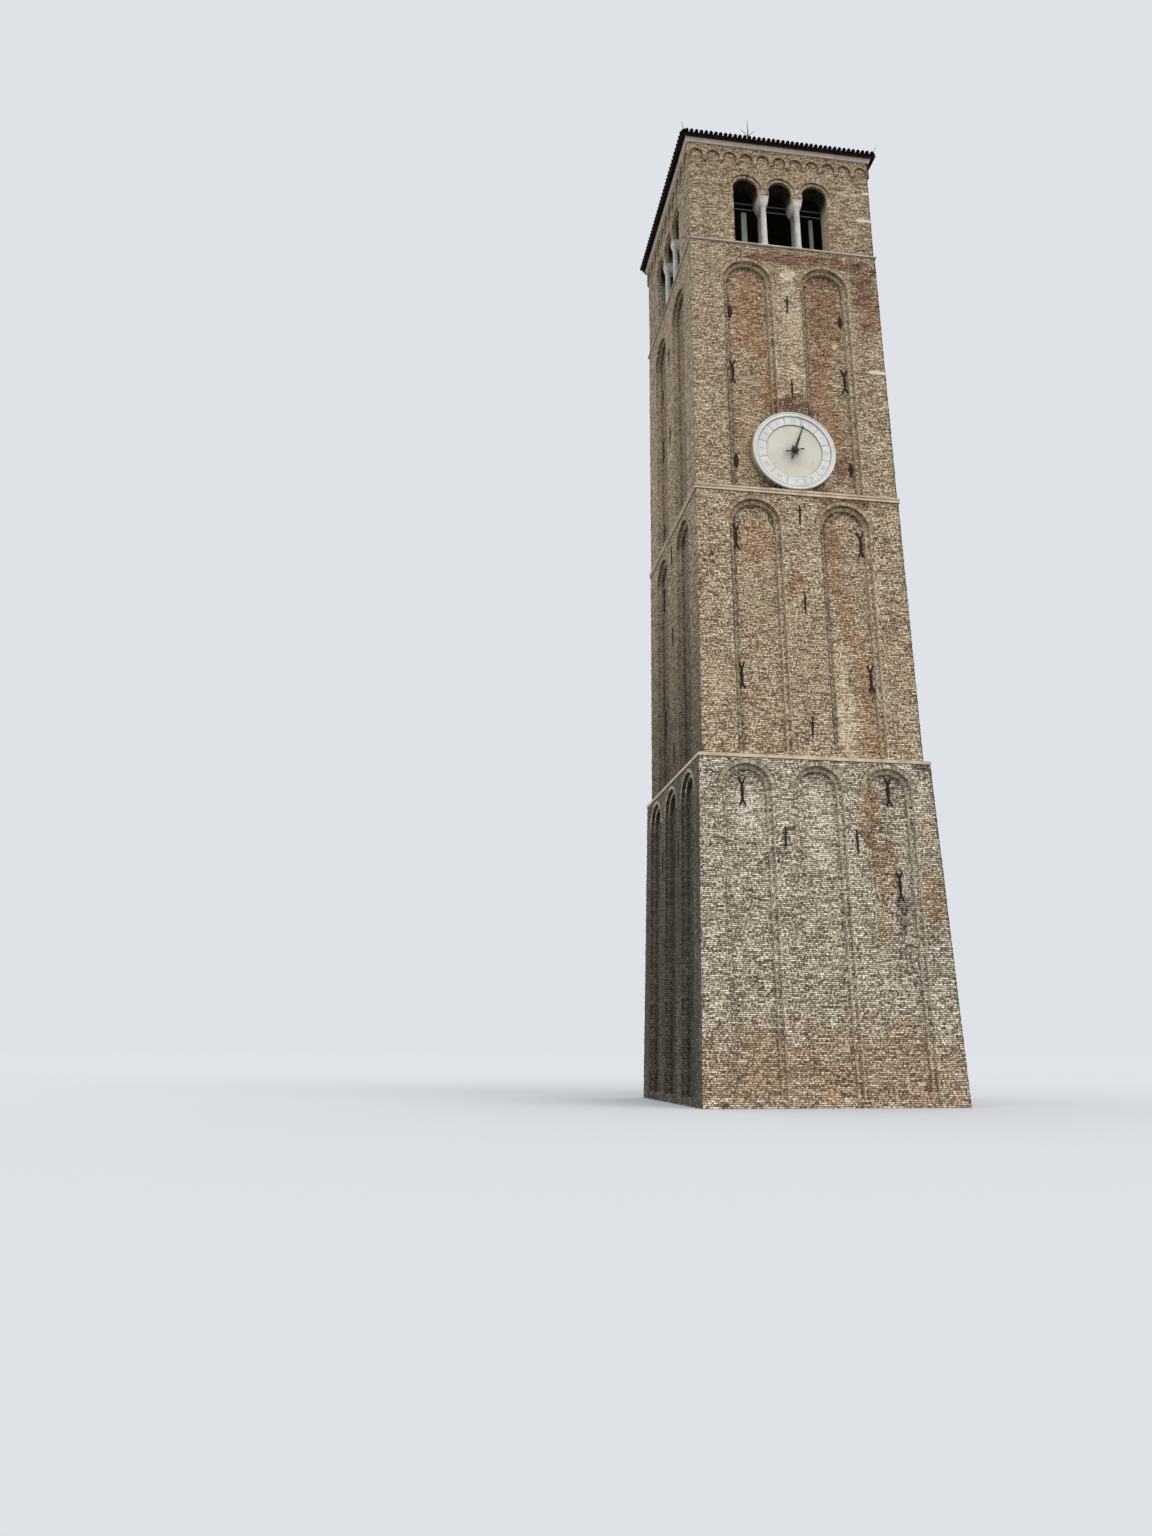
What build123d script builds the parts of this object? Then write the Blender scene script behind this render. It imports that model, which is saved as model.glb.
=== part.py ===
# Square brick bell tower with blind arches, an open belfry, a tiled roof and a clock with one hand.
# Lengths are millimetres. The origin is the centre of the foot, +Z is up and the clock faces -Y.
from build123d import *

import os
from dataclasses import dataclass
from math import atan, cos, radians, sin, sqrt, tan

os.makedirs("parts", exist_ok=True)

# Heights of the stages and courses, from the ground up, and the levels they add up to
BASE_STAGE_HEIGHT = 10570
LOWER_STRING_HEIGHT = 150
MIDDLE_STAGE_HEIGHT = 9310
UPPER_STRING_HEIGHT = 180
UPPER_STAGE_HEIGHT = 9890
SILL_HEIGHT = 150
BELFRY_HEIGHT = 4230
CORNICE_HEIGHT = 200
BASE_STAGE_TOP = BASE_STAGE_HEIGHT
MIDDLE_STAGE_FOOT = BASE_STAGE_TOP + LOWER_STRING_HEIGHT
MIDDLE_STAGE_TOP = MIDDLE_STAGE_FOOT + MIDDLE_STAGE_HEIGHT
UPPER_STAGE_FOOT = MIDDLE_STAGE_TOP + UPPER_STRING_HEIGHT
UPPER_STAGE_TOP = UPPER_STAGE_FOOT + UPPER_STAGE_HEIGHT
SILL_TOP = UPPER_STAGE_TOP + SILL_HEIGHT
BELFRY_TOP = SILL_TOP + BELFRY_HEIGHT
ROOF_FOOT = BELFRY_TOP + CORNICE_HEIGHT

# Half widths of the outer faces: each stage starts a setback outside the one above it,
# and spreads outwards by its lean on the way down
BELFRY_HALF = 3500
UPPER_SETBACK = 25
UPPER_LEAN = 65
MIDDLE_SETBACK = 20
MIDDLE_LEAN = 80
BASE_SETBACK = 150
BASE_LEAN = 250
UPPER_HALF_TOP = BELFRY_HALF + UPPER_SETBACK
UPPER_HALF_FOOT = UPPER_HALF_TOP + UPPER_LEAN
MIDDLE_HALF_TOP = UPPER_HALF_FOOT + MIDDLE_SETBACK
MIDDLE_HALF_FOOT = MIDDLE_HALF_TOP + MIDDLE_LEAN
BASE_HALF_TOP = MIDDLE_HALF_FOOT + BASE_SETBACK
BASE_HALF_FOOT = BASE_HALF_TOP + BASE_LEAN

# Half widths of the shaft inside each stage: the belfry wall's thickness sets the top one,
# and each stage below is narrower inside by a ledge
BELFRY_WALL_THICKNESS = 720
BELFRY_INSIDE = BELFRY_HALF - BELFRY_WALL_THICKNESS
UPPER_INSIDE = BELFRY_INSIDE - 100
MIDDLE_INSIDE = UPPER_INSIDE - 60
BASE_INSIDE = MIDDLE_INSIDE - 70

# How far the courses stand out of the wall
LOWER_STRING_REACH = 30
UPPER_STRING_REACH = 45
UPPER_STRING_GROOVE = 25
SILL_REACH = 60

# Blind arches: two orders, each stepped back into the wall. A margin of wall is left above each crown.
ORDER_WIDTH = 150
ORDER_DEPTH = 120
BASE_ARCH_HALF = 820
BASE_ARCH_PITCH = 2330
BASE_ARCH_MARGIN = 200
BASE_RECESS_RISE = 260
MIDDLE_ARCH_HALF = 910
MIDDLE_ARCH_PITCH = 3180
MIDDLE_ARCH_MARGIN = 250
MIDDLE_RECESS_RISE = 120
UPPER_ARCH_HALF = 915
UPPER_ARCH_PITCH = 2900
UPPER_ARCH_MARGIN = 650
UPPER_RECESS_RISE = 60

# Belfry openings: a wider arch each side of a narrower one, over paired columns
SIDE_OPENING_WIDTH = 980
MIDDLE_OPENING_WIDTH = 900
OPENING_MARGIN = 1280
OPENING_CROWN = BELFRY_TOP - OPENING_MARGIN
ARCHIVOLT_WIDTH = 120
ARCHIVOLT_DEPTH = 60

# Columns and the long capitals that join each pair
CAPITAL_WIDTH = 400
CAPITAL_DROP = 720
CAPITAL_TOP = OPENING_CROWN - CAPITAL_DROP
CAPITAL_BLOCK_HEIGHT = 190
CAPITAL_HEIGHT = 380
CAPITAL_FOOT_MARGIN = 20
NECK_HEIGHT = 60
NECK_REACH = 18
SHAFT_RADIUS = 122
COLUMN_SETBACK = 150
COLUMN_BASE_RADIUS = 142
COLUMN_BASE_HEIGHT = 400
COLUMN_BASE_STEP = 90

# Iron tie bars behind the openings, and the two posts that stand inside the front ones
TIE_BAR_RADIUS = 18
TIE_BAR_RISES = (-50, 200)
TIE_BAR_LAP = 250
SEAT_GAP = 0.3
POST_CENTRES = (-1180, 1460)
POST_WIDTHS = (280, 210)
POST_DEPTH = 120
POST_SETBACK = 80
POST_HEIGHT = 2120

# Corbel table of small arches under the cornice
CORBEL_ARCH_COUNT = 11
CORBEL_ARCH_RADIUS = 255
CORBEL_MARGIN = 255
CORBEL_REACH = 55
CORBEL_END_STRIP = 95
CORBEL_DROP = 270
CORBEL_SPLAY = 110

# Cornice and roof
CORNICE_REACHES = (80, 100, 125)
ROOF_PITCH = 22
ROOF_OVERHANG = 85
ROOF_THICKNESS = 160
ROOF_CAP_HALF = 160

# Barrel tiles on the roof: rounded ribs that run up each slope from a thin bed
TILE_PITCH = 185
TILE_RADIUS = 88
TILE_CROWN = 116
TILE_BED = 18
TILE_OVERHANG = 60

# Lightning rod with a crown of four slanted arms
ROD_LENGTH = 3526
ROD_OFFSET = 75
ROD_RADIUS = 20
ROD_FOOT_RADIUS = 60
ROD_FOOT_HEIGHT = 250
ROD_ARM_RADIUS = 12
ROD_ARM_DROP = 810
ROD_ARM_LENGTH = 430

# Clock: rim, hour stones and disc let into a round seat in the front wall, a little above the string course
CLOCK_LIFT = 35
CLOCK_OFFSET = -70
CLOCK_RADIUS = 1495
CLOCK_RIM_WIDTH = 165
CLOCK_RING_WIDTH = 310
CLOCK_RIM_REACH = 110
CLOCK_RING_REACH = 65
CLOCK_DISC_REACH = 25
CLOCK_SEAT_DEPTH = 270
RIM_FILLET_WIDTH = 40
RIM_GROOVE_DEPTH = 22
HOUR_STONES = 12
STONE_JOINT = 8
SPINDLE_RADIUS = 30
SPINDLE_COLLAR = 60
SPINDLE_CLEARANCE = 0.5
HAND_GAP = 45
COLLAR_GAP = 6
HAND_ANGLE = 19.5
HAND_LENGTH = 985
HAND_TAIL = 400
HAND_ROOT_WIDTH = 100
HAND_TIP_WIDTH = 36
HAND_THICKNESS = 24
HAND_BALL_RADIUS = 42
HAND_ARM_LENGTH = 360
HAND_STUB_LENGTH = 215
HAND_ARM_WIDTH = 44
HUB_RADIUS = 135
HUB_THICKNESS = 60

# Iron wall anchors, forked at both ends, plain bars with a short cross, or pointed plates.
# Each place is the distance across, the share of the way up the blind arches, and how many orders
# back it sits. The anchor lines stand near the outer side of the outermost arches; in the base stage
# the forks stand a shift outside the middle of the outer arches.
ANCHOR_THICKNESS = 30
ANCHOR_WIDTH = 50
ANCHOR_INSET = 140
FORK_LENGTH = 150
FORK_LEAN = 35
FORKED_LENGTH = 980
BAR_LENGTH = 760
BAR_CROSS = 170
PLATE_LENGTH = 600
PLATE_WIDTH = 170
FORK_SHIFTS = (90, 100, 230)
MIDDLE_LINE = MIDDLE_ARCH_PITCH / 2 + MIDDLE_ARCH_HALF - ORDER_WIDTH - ANCHOR_INSET
UPPER_LINE = UPPER_ARCH_PITCH / 2 + UPPER_ARCH_HALF - ORDER_WIDTH - ANCHOR_INSET
BASE_FORKED = ((-BASE_ARCH_PITCH - FORK_SHIFTS[0], 0.914, 2), (BASE_ARCH_PITCH + FORK_SHIFTS[1], 0.929, 2),
               (BASE_ARCH_PITCH + FORK_SHIFTS[2], 0.627, 2))
BASE_BARS = ((-BASE_ARCH_PITCH / 2, 0.766, 0), (BASE_ARCH_PITCH / 2, 0.761, 0))
MIDDLE_FORKED = ((-MIDDLE_LINE, 0.849, 2), (MIDDLE_LINE, 0.849, 2), (-MIDDLE_LINE, 0.292, 2),
                 (MIDDLE_LINE, 0.303, 2))
MIDDLE_BARS = ((0, 0.946, 0), (0, 0.583, 0), (0, 0.096, 0))
UPPER_PLATES = ((-UPPER_LINE, 0.777, 2), (UPPER_LINE, 0.777, 2), (-UPPER_LINE, 0.118, 2),
                (UPPER_LINE, 0.118, 2))
UPPER_BARS = ((-UPPER_LINE, 0.504, 2), (UPPER_LINE, 0.504, 2), (0, 0.815, 0), (0, 0.434, 0))

# The four sides and how far each is turned from the front
SIDES = {"front": 0, "right": 90, "back": 180, "left": 270}


@dataclass
class Stage:
    name: str
    foot: float
    top: float
    half_foot: float
    half_top: float
    inside: float
    arch_centres: tuple
    arch_half: float
    arch_crown: float
    recess_foot: float

    def slope(self):
        return (self.half_foot - self.half_top) / (self.top - self.foot)

    def half_at(self, height):
        return self.half_foot - self.slope() * (height - self.foot)

    # The front face, with its origin at the middle of the stage's foot and its own height axis
    def face(self):
        lean = atan(self.slope())
        foot_line = (0, -self.half_foot, self.foot)
        return Plane(origin=foot_line, x_dir=(1, 0, 0), z_dir=(0, -cos(lean), sin(lean)))

    # A height above the ground, measured along the leaning face
    def along_face(self, height):
        return (height - self.foot) / cos(atan(self.slope()))

    # The height above the ground of a share of the way up the blind arches
    def share_up(self, share):
        return self.recess_foot + share * (self.arch_crown - self.recess_foot)


BASE = Stage("base", 0, BASE_STAGE_TOP, BASE_HALF_FOOT, BASE_HALF_TOP, BASE_INSIDE,
             (-BASE_ARCH_PITCH, 0, BASE_ARCH_PITCH), BASE_ARCH_HALF, BASE_STAGE_TOP - BASE_ARCH_MARGIN,
             BASE_RECESS_RISE)
MIDDLE = Stage("middle", MIDDLE_STAGE_FOOT, MIDDLE_STAGE_TOP, MIDDLE_HALF_FOOT, MIDDLE_HALF_TOP,
               MIDDLE_INSIDE, (-MIDDLE_ARCH_PITCH / 2, MIDDLE_ARCH_PITCH / 2), MIDDLE_ARCH_HALF,
               MIDDLE_STAGE_TOP - MIDDLE_ARCH_MARGIN, MIDDLE_STAGE_FOOT + MIDDLE_RECESS_RISE)
UPPER = Stage("upper", UPPER_STAGE_FOOT, UPPER_STAGE_TOP, UPPER_HALF_FOOT, UPPER_HALF_TOP, UPPER_INSIDE,
              (-UPPER_ARCH_PITCH / 2, UPPER_ARCH_PITCH / 2), UPPER_ARCH_HALF,
              UPPER_STAGE_TOP - UPPER_ARCH_MARGIN, UPPER_STAGE_FOOT + UPPER_RECESS_RISE)
STAGES = (BASE, MIDDLE, UPPER)

# Levels and lines that several pieces share
SIDE_RADIUS = SIDE_OPENING_WIDTH / 2
MIDDLE_RADIUS = MIDDLE_OPENING_WIDTH / 2
COLUMN_CENTRE = (MIDDLE_OPENING_WIDTH + CAPITAL_WIDTH) / 2
SIDE_CENTRE = COLUMN_CENTRE + (CAPITAL_WIDTH + SIDE_OPENING_WIDTH) / 2
OPENING_HALF = SIDE_CENTRE + SIDE_RADIUS
ARCHES = ((-SIDE_CENTRE, SIDE_RADIUS), (0, MIDDLE_RADIUS), (SIDE_CENTRE, SIDE_RADIUS))
COLUMN_LINES = (BELFRY_HALF - COLUMN_SETBACK, BELFRY_INSIDE + COLUMN_SETBACK)
COLUMN_PLACES = [(x, -line) for x in (-COLUMN_CENTRE, COLUMN_CENTRE) for line in COLUMN_LINES]
COLUMN_BASE_TOP = SILL_TOP + COLUMN_BASE_HEIGHT
CAPITAL_FOOT = CAPITAL_TOP - CAPITAL_HEIGHT
CLOCK_HEIGHT = UPPER.foot + CLOCK_LIFT + CLOCK_RADIUS
CLOCK_FACE = UPPER.half_at(CLOCK_HEIGHT)
CLOCK_SEAT = CLOCK_FACE - CLOCK_SEAT_DEPTH
RING_OUTER = CLOCK_RADIUS - CLOCK_RIM_WIDTH
RING_INNER = RING_OUTER - CLOCK_RING_WIDTH
HAND_BACK = CLOCK_FACE + CLOCK_RING_REACH + HAND_GAP


# Writes one finished piece under its own name
def save(piece, name):
    piece.label = name
    export_step(piece, f"parts/{name}.step")


# Turns a piece made for the front to each side and writes it there
def save_on_each_side(piece, name):
    for side, turn in SIDES.items():
        save(piece.rotate(Axis.Z, turn), name.format(side))


# Turns a piece made for the front to all four sides and writes the four as one node
def save_all_round(piece, name):
    with BuildPart() as all_round:
        for turn in SIDES.values():
            add(piece.rotate(Axis.Z, turn))
    save(all_round.part, name)


# The plan of one wall between its outer and inner face, cut at 45 degrees where it meets its neighbours
def mitred_plan(outer, inner):
    return [(-outer, -outer), (outer, -outer), (inner, -inner), (-inner, -inner)]


# A vertical plane facing out of the front, a given distance from the tower's axis
def front_plane(distance, x=0, z=0):
    return Plane(origin=(x, -distance, z), x_dir=(1, 0, 0), z_dir=(0, -1, 0))


# One wall of a closed stage, with its blind arches cut one order after the other
def stage_wall(stage, clock_seat=False):
    with BuildPart() as wall:
        for height, half in ((stage.foot, stage.half_foot), (stage.top, stage.half_top)):
            with BuildSketch(Plane.XY.offset(height)):
                with BuildLine():
                    Polyline(*mitred_plan(half, stage.inside), close=True)
                make_face()
        loft(ruled=True)
        for order in (1, 2):
            half = stage.arch_half - (order - 1) * ORDER_WIDTH
            foot = stage.along_face(stage.recess_foot)
            springing = stage.along_face(stage.arch_crown) - stage.arch_half
            with BuildSketch(stage.face()):
                for centre in stage.arch_centres:
                    with BuildLine():
                        Polyline((centre - half, springing), (centre - half, foot),
                                 (centre + half, foot), (centre + half, springing))
                        ThreePointArc((centre + half, springing), (centre, springing + half),
                                      (centre - half, springing))
                    make_face()
            extrude(amount=-order * ORDER_DEPTH, mode=Mode.SUBTRACT)
        if clock_seat:
            with BuildSketch(front_plane(CLOCK_SEAT, CLOCK_OFFSET, CLOCK_HEIGHT)):
                Circle(CLOCK_RADIUS)
            extrude(amount=2 * CLOCK_SEAT_DEPTH, mode=Mode.SUBTRACT)
    return wall.part


for stage in STAGES:
    plain_wall = stage_wall(stage)
    for side, turn in SIDES.items():
        has_clock = stage is UPPER and side == "front"
        wall = stage_wall(stage, clock_seat=True) if has_clock else plain_wall.rotate(Axis.Z, turn)
        save(wall, f"{stage.name}_{side}_wall")

# Lower string course: a plain band, weathered back to the wall above it
with BuildPart() as lower_string_course:
    with BuildSketch(Plane.XY.offset(BASE_STAGE_TOP)):
        Rectangle(2 * (BASE_HALF_TOP + LOWER_STRING_REACH), 2 * (BASE_HALF_TOP + LOWER_STRING_REACH))
        Rectangle(2 * MIDDLE_INSIDE, 2 * MIDDLE_INSIDE, mode=Mode.SUBTRACT)
    extrude(amount=LOWER_STRING_HEIGHT)
    top_rim = lower_string_course.faces().sort_by(Axis.Z)[-1].outer_wire().edges()
    chamfer(top_rim, length=LOWER_STRING_HEIGHT / 3, length2=BASE_SETBACK)
save(lower_string_course.part, "lower_string_course")

# Upper string course: two thin bands with a groove between them
with BuildPart() as upper_string_course:
    band = UPPER_STRING_HEIGHT / 3
    groove_reach = UPPER_STRING_REACH - UPPER_STRING_GROOVE
    for level, reach in enumerate((UPPER_STRING_REACH, groove_reach, UPPER_STRING_REACH)):
        with BuildSketch(Plane.XY.offset(MIDDLE_STAGE_TOP + level * band)):
            Rectangle(2 * (MIDDLE_HALF_TOP + reach), 2 * (MIDDLE_HALF_TOP + reach))
            Rectangle(2 * UPPER_INSIDE, 2 * UPPER_INSIDE, mode=Mode.SUBTRACT)
        extrude(amount=band)
save(upper_string_course.part, "upper_string_course")

# Sill course under the belfry openings
with BuildPart() as belfry_sill:
    with BuildSketch(Plane.XY.offset(UPPER_STAGE_TOP)):
        Rectangle(2 * (UPPER_HALF_TOP + SILL_REACH), 2 * (UPPER_HALF_TOP + SILL_REACH))
        Rectangle(2 * BELFRY_INSIDE, 2 * BELFRY_INSIDE, mode=Mode.SUBTRACT)
    extrude(amount=SILL_HEIGHT)
    chamfer(belfry_sill.faces().sort_by(Axis.Z)[0].outer_wire().edges(), length=SILL_REACH / 2)
save(belfry_sill.part, "belfry_sill")

# Floor of the belfry, on the ledge where the walls get thinner
with BuildPart() as belfry_floor:
    with BuildSketch(Plane.XY.offset(UPPER_STAGE_TOP)):
        Rectangle(2 * (BELFRY_INSIDE - SEAT_GAP), 2 * (BELFRY_INSIDE - SEAT_GAP))
    extrude(amount=SILL_HEIGHT)
save(belfry_floor.part, "belfry_floor")

# Belfry wall: three arches over a gap that the columns share, each with a shallow outer ring
with BuildPart() as belfry_wall:
    with BuildSketch(Plane.XY.offset(SILL_TOP)):
        with BuildLine():
            Polyline(*mitred_plan(BELFRY_HALF, BELFRY_INSIDE), close=True)
        make_face()
    extrude(amount=BELFRY_TOP - SILL_TOP)
    with BuildSketch(front_plane(BELFRY_HALF)):
        for centre, radius in ARCHES:
            with Locations((centre, OPENING_CROWN - radius)):
                Circle(radius + ARCHIVOLT_WIDTH)
        with Locations((0, OPENING_CROWN - SIDE_RADIUS - BELFRY_HALF)):
            Rectangle(2 * BELFRY_HALF, 2 * BELFRY_HALF, mode=Mode.SUBTRACT)
    extrude(amount=-ARCHIVOLT_DEPTH, mode=Mode.SUBTRACT)
    with BuildSketch(front_plane(BELFRY_HALF)):
        with Locations((0, (SILL_TOP + CAPITAL_TOP) / 2)):
            Rectangle(2 * OPENING_HALF, CAPITAL_TOP - SILL_TOP)
        for centre, radius in ARCHES:
            with Locations((centre, OPENING_CROWN - radius)):
                Circle(radius)
            with Locations((centre, (OPENING_CROWN - radius + CAPITAL_TOP) / 2)):
                Rectangle(2 * radius, OPENING_CROWN - radius - CAPITAL_TOP)
    extrude(amount=-(BELFRY_HALF - BELFRY_INSIDE), mode=Mode.SUBTRACT)
save_on_each_side(belfry_wall.part, "belfry_{}_wall")

# Paired shafts, bases and the capitals that reach from the outer shaft to the inner one
with BuildPart() as belfry_columns:
    with BuildSketch(Plane.XY.offset(COLUMN_BASE_TOP)):
        with Locations(*COLUMN_PLACES):
            Circle(SHAFT_RADIUS)
    extrude(amount=CAPITAL_FOOT - COLUMN_BASE_TOP)
save_on_each_side(belfry_columns.part, "belfry_{}_columns")

with BuildPart() as column_bases:
    for place in COLUMN_PLACES:
        with BuildSketch(Plane(origin=(*place, SILL_TOP), x_dir=(1, 0, 0), z_dir=(0, -1, 0))):
            with BuildLine():
                Polyline((0, 0), (COLUMN_BASE_RADIUS, 0), (COLUMN_BASE_RADIUS, COLUMN_BASE_STEP),
                         (SHAFT_RADIUS + NECK_REACH / 2, COLUMN_BASE_STEP + NECK_REACH),
                         (SHAFT_RADIUS + NECK_REACH / 2, COLUMN_BASE_HEIGHT), (0, COLUMN_BASE_HEIGHT),
                         close=True)
            make_face()
        revolve(axis=Axis((*place, SILL_TOP), (0, 0, 1)))
save_all_round(column_bases.part, "column_bases")

with BuildPart() as crutch_capitals:
    block_foot = CAPITAL_TOP - CAPITAL_BLOCK_HEIGHT
    middle_line = -(BELFRY_HALF + BELFRY_INSIDE) / 2
    capital_length = BELFRY_HALF - BELFRY_INSIDE
    foot_width = 2 * (SHAFT_RADIUS + CAPITAL_FOOT_MARGIN)
    for x in (-COLUMN_CENTRE, COLUMN_CENTRE):
        with BuildSketch(Plane.XY.offset(block_foot)):
            with Locations((x, middle_line)):
                Rectangle(CAPITAL_WIDTH, capital_length)
        extrude(amount=CAPITAL_BLOCK_HEIGHT)
        with BuildSketch(Plane.XY.offset(CAPITAL_FOOT + NECK_HEIGHT)):
            with Locations((x, middle_line)):
                Rectangle(foot_width, capital_length - 2 * (COLUMN_SETBACK - foot_width / 2))
        with BuildSketch(Plane.XY.offset(block_foot)):
            with Locations((x, middle_line)):
                Rectangle(CAPITAL_WIDTH, capital_length)
        loft(ruled=True)
    with BuildSketch(Plane.XY.offset(CAPITAL_FOOT)):
        with Locations(*COLUMN_PLACES):
            Circle(SHAFT_RADIUS + NECK_REACH)
    extrude(amount=NECK_HEIGHT)
save_on_each_side(crutch_capitals.part, "belfry_{}_capitals")

# Iron tie bars laid across the inner face of the belfry walls
with BuildPart() as tie_bars:
    bar_half = OPENING_HALF + TIE_BAR_LAP
    bar_line = BELFRY_INSIDE - TIE_BAR_RADIUS - SEAT_GAP
    for rise in TIE_BAR_RISES:
        start = (-bar_half, -bar_line, CAPITAL_TOP + rise)
        with BuildSketch(Plane(origin=start, x_dir=(0, 1, 0), z_dir=(1, 0, 0))):
            Circle(TIE_BAR_RADIUS)
        extrude(amount=2 * bar_half)
save_all_round(tie_bars.part, "tie_bars")

# Two upright posts that stand on the floor just inside the front openings
with BuildPart() as inner_posts:
    with BuildSketch(Plane.XY.offset(SILL_TOP)):
        for centre, width in zip(POST_CENTRES, POST_WIDTHS):
            with Locations((centre, -(BELFRY_INSIDE - POST_SETBACK - POST_DEPTH / 2))):
                Rectangle(width, POST_DEPTH)
    extrude(amount=POST_HEIGHT)
save(inner_posts.part, "inner_posts")

# Corbel table: a thin skin on each belfry face, cut away to a row of small arches.
# The strips between the arches die back into the wall at their feet.
with BuildPart() as corbel_table:
    springing = BELFRY_TOP - CORBEL_MARGIN - CORBEL_ARCH_RADIUS
    corbel_foot = springing - CORBEL_DROP
    first_arch = BELFRY_HALF + CORBEL_REACH - CORBEL_END_STRIP - CORBEL_ARCH_RADIUS
    pitch = 2 * first_arch / (CORBEL_ARCH_COUNT - 1)
    with BuildSketch(Plane.XY.offset(corbel_foot)):
        with BuildLine():
            Polyline(*mitred_plan(BELFRY_HALF + CORBEL_REACH, BELFRY_HALF), close=True)
        make_face()
    extrude(amount=BELFRY_TOP - corbel_foot)
    with BuildSketch(front_plane(BELFRY_HALF + CORBEL_REACH)):
        with Locations((0, springing)):
            with GridLocations(pitch, 1, CORBEL_ARCH_COUNT, 1):
                Circle(CORBEL_ARCH_RADIUS)
        with Locations((0, springing - CORBEL_DROP / 2)):
            with GridLocations(pitch, 1, CORBEL_ARCH_COUNT, 1):
                Rectangle(2 * CORBEL_ARCH_RADIUS, CORBEL_DROP)
    extrude(amount=-CORBEL_REACH, mode=Mode.SUBTRACT)
    with BuildSketch(Plane.YZ):
        with BuildLine():
            Polyline((-BELFRY_HALF, corbel_foot), (-BELFRY_HALF - CORBEL_REACH, corbel_foot),
                     (-BELFRY_HALF - CORBEL_REACH, corbel_foot + CORBEL_SPLAY), close=True)
        make_face()
    extrude(amount=2 * BELFRY_HALF, both=True, mode=Mode.SUBTRACT)
save_on_each_side(corbel_table.part, "{}_corbel_table")

# Cornice: three square courses, each further out than the one below
with BuildPart() as cornice:
    course = CORNICE_HEIGHT / len(CORNICE_REACHES)
    for level, reach in enumerate(CORNICE_REACHES):
        with BuildSketch(Plane.XY.offset(BELFRY_TOP + level * course)):
            Rectangle(2 * (BELFRY_HALF + reach), 2 * (BELFRY_HALF + reach))
            Rectangle(2 * BELFRY_INSIDE, 2 * BELFRY_INSIDE, mode=Mode.SUBTRACT)
        extrude(amount=course)
save(cornice.part, "cornice")

# Low pyramid roof, hollow underneath, with a flat cap where the rod stands
rise = tan(radians(ROOF_PITCH))
eave_half = BELFRY_HALF + CORNICE_REACHES[-1] + ROOF_OVERHANG
roof_top = ROOF_FOOT + (eave_half - ROOF_CAP_HALF) * rise
hollow_half = eave_half - ROOF_THICKNESS / rise
with BuildPart() as roof:
    for half, mode in ((eave_half, Mode.ADD), (hollow_half, Mode.SUBTRACT)):
        with BuildSketch(Plane.XY.offset(ROOF_FOOT)):
            Rectangle(2 * half, 2 * half)
        extrude(amount=(half - ROOF_CAP_HALF) * rise, taper=90 - ROOF_PITCH, mode=mode)
save(roof.part, "roof")

# Rows of barrel tiles: each slope carries one ribbed sheet, cut off along the hips
with BuildPart() as roof_tile_rows:
    lean = radians(ROOF_PITCH)
    columns = round(2 * eave_half / TILE_PITCH)
    tile_pitch = 2 * eave_half / columns
    rib_half = sqrt(TILE_RADIUS**2 - (TILE_CROWN - TILE_RADIUS - TILE_BED) ** 2)
    sheet_half = eave_half + 2 * TILE_OVERHANG
    start = (0, -eave_half - TILE_OVERHANG * cos(lean), ROOF_FOOT - TILE_OVERHANG * sin(lean))
    with BuildSketch(Plane(origin=start, x_dir=(1, 0, 0), z_dir=(0, -cos(lean), -sin(lean)))):
        with BuildLine():
            Polyline((sheet_half, TILE_BED), (sheet_half, 0), (-sheet_half, 0), (-sheet_half, TILE_BED))
            last = (-sheet_half, TILE_BED)
            for column in range(columns):
                middle = (column + 0.5) * tile_pitch - eave_half
                Line(last, (middle - rib_half, TILE_BED))
                last = (middle + rib_half, TILE_BED)
                ThreePointArc((middle - rib_half, TILE_BED), (middle, TILE_CROWN), last)
            Line(last, (sheet_half, TILE_BED))
        make_face()
    extrude(amount=-(TILE_OVERHANG + (eave_half - ROOF_CAP_HALF) / cos(lean)))
    with BuildSketch(Plane.XY.offset(ROOF_FOOT - TILE_OVERHANG)):
        with BuildLine():
            Polyline((0, 0), (-2 * eave_half, -2 * eave_half), (2 * eave_half, -2 * eave_half), close=True)
        make_face()
    extrude(amount=2 * eave_half, mode=Mode.INTERSECT)
save_all_round(roof_tile_rows.part, "roof_tile_rows")

# Lightning rod: a stepped foot, the rod, and four arms that slant up and out
with BuildPart() as lightning_rod:
    for height, radius in ((ROD_FOOT_HEIGHT, ROD_FOOT_RADIUS), (ROD_LENGTH, ROD_RADIUS)):
        with BuildSketch(Plane(origin=(ROD_OFFSET, 0, roof_top))):
            Circle(radius)
        extrude(amount=height)
    for turn in range(4):
        outward = Vector(1, 0, 1).rotate(Axis.Z, 90 * turn)
        with BuildSketch(Plane(origin=(ROD_OFFSET, 0, roof_top + ROD_LENGTH - ROD_ARM_DROP), z_dir=outward)):
            Circle(ROD_ARM_RADIUS)
        extrude(amount=ROD_ARM_LENGTH)
save(lightning_rod.part, "lightning_rod")

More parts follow.
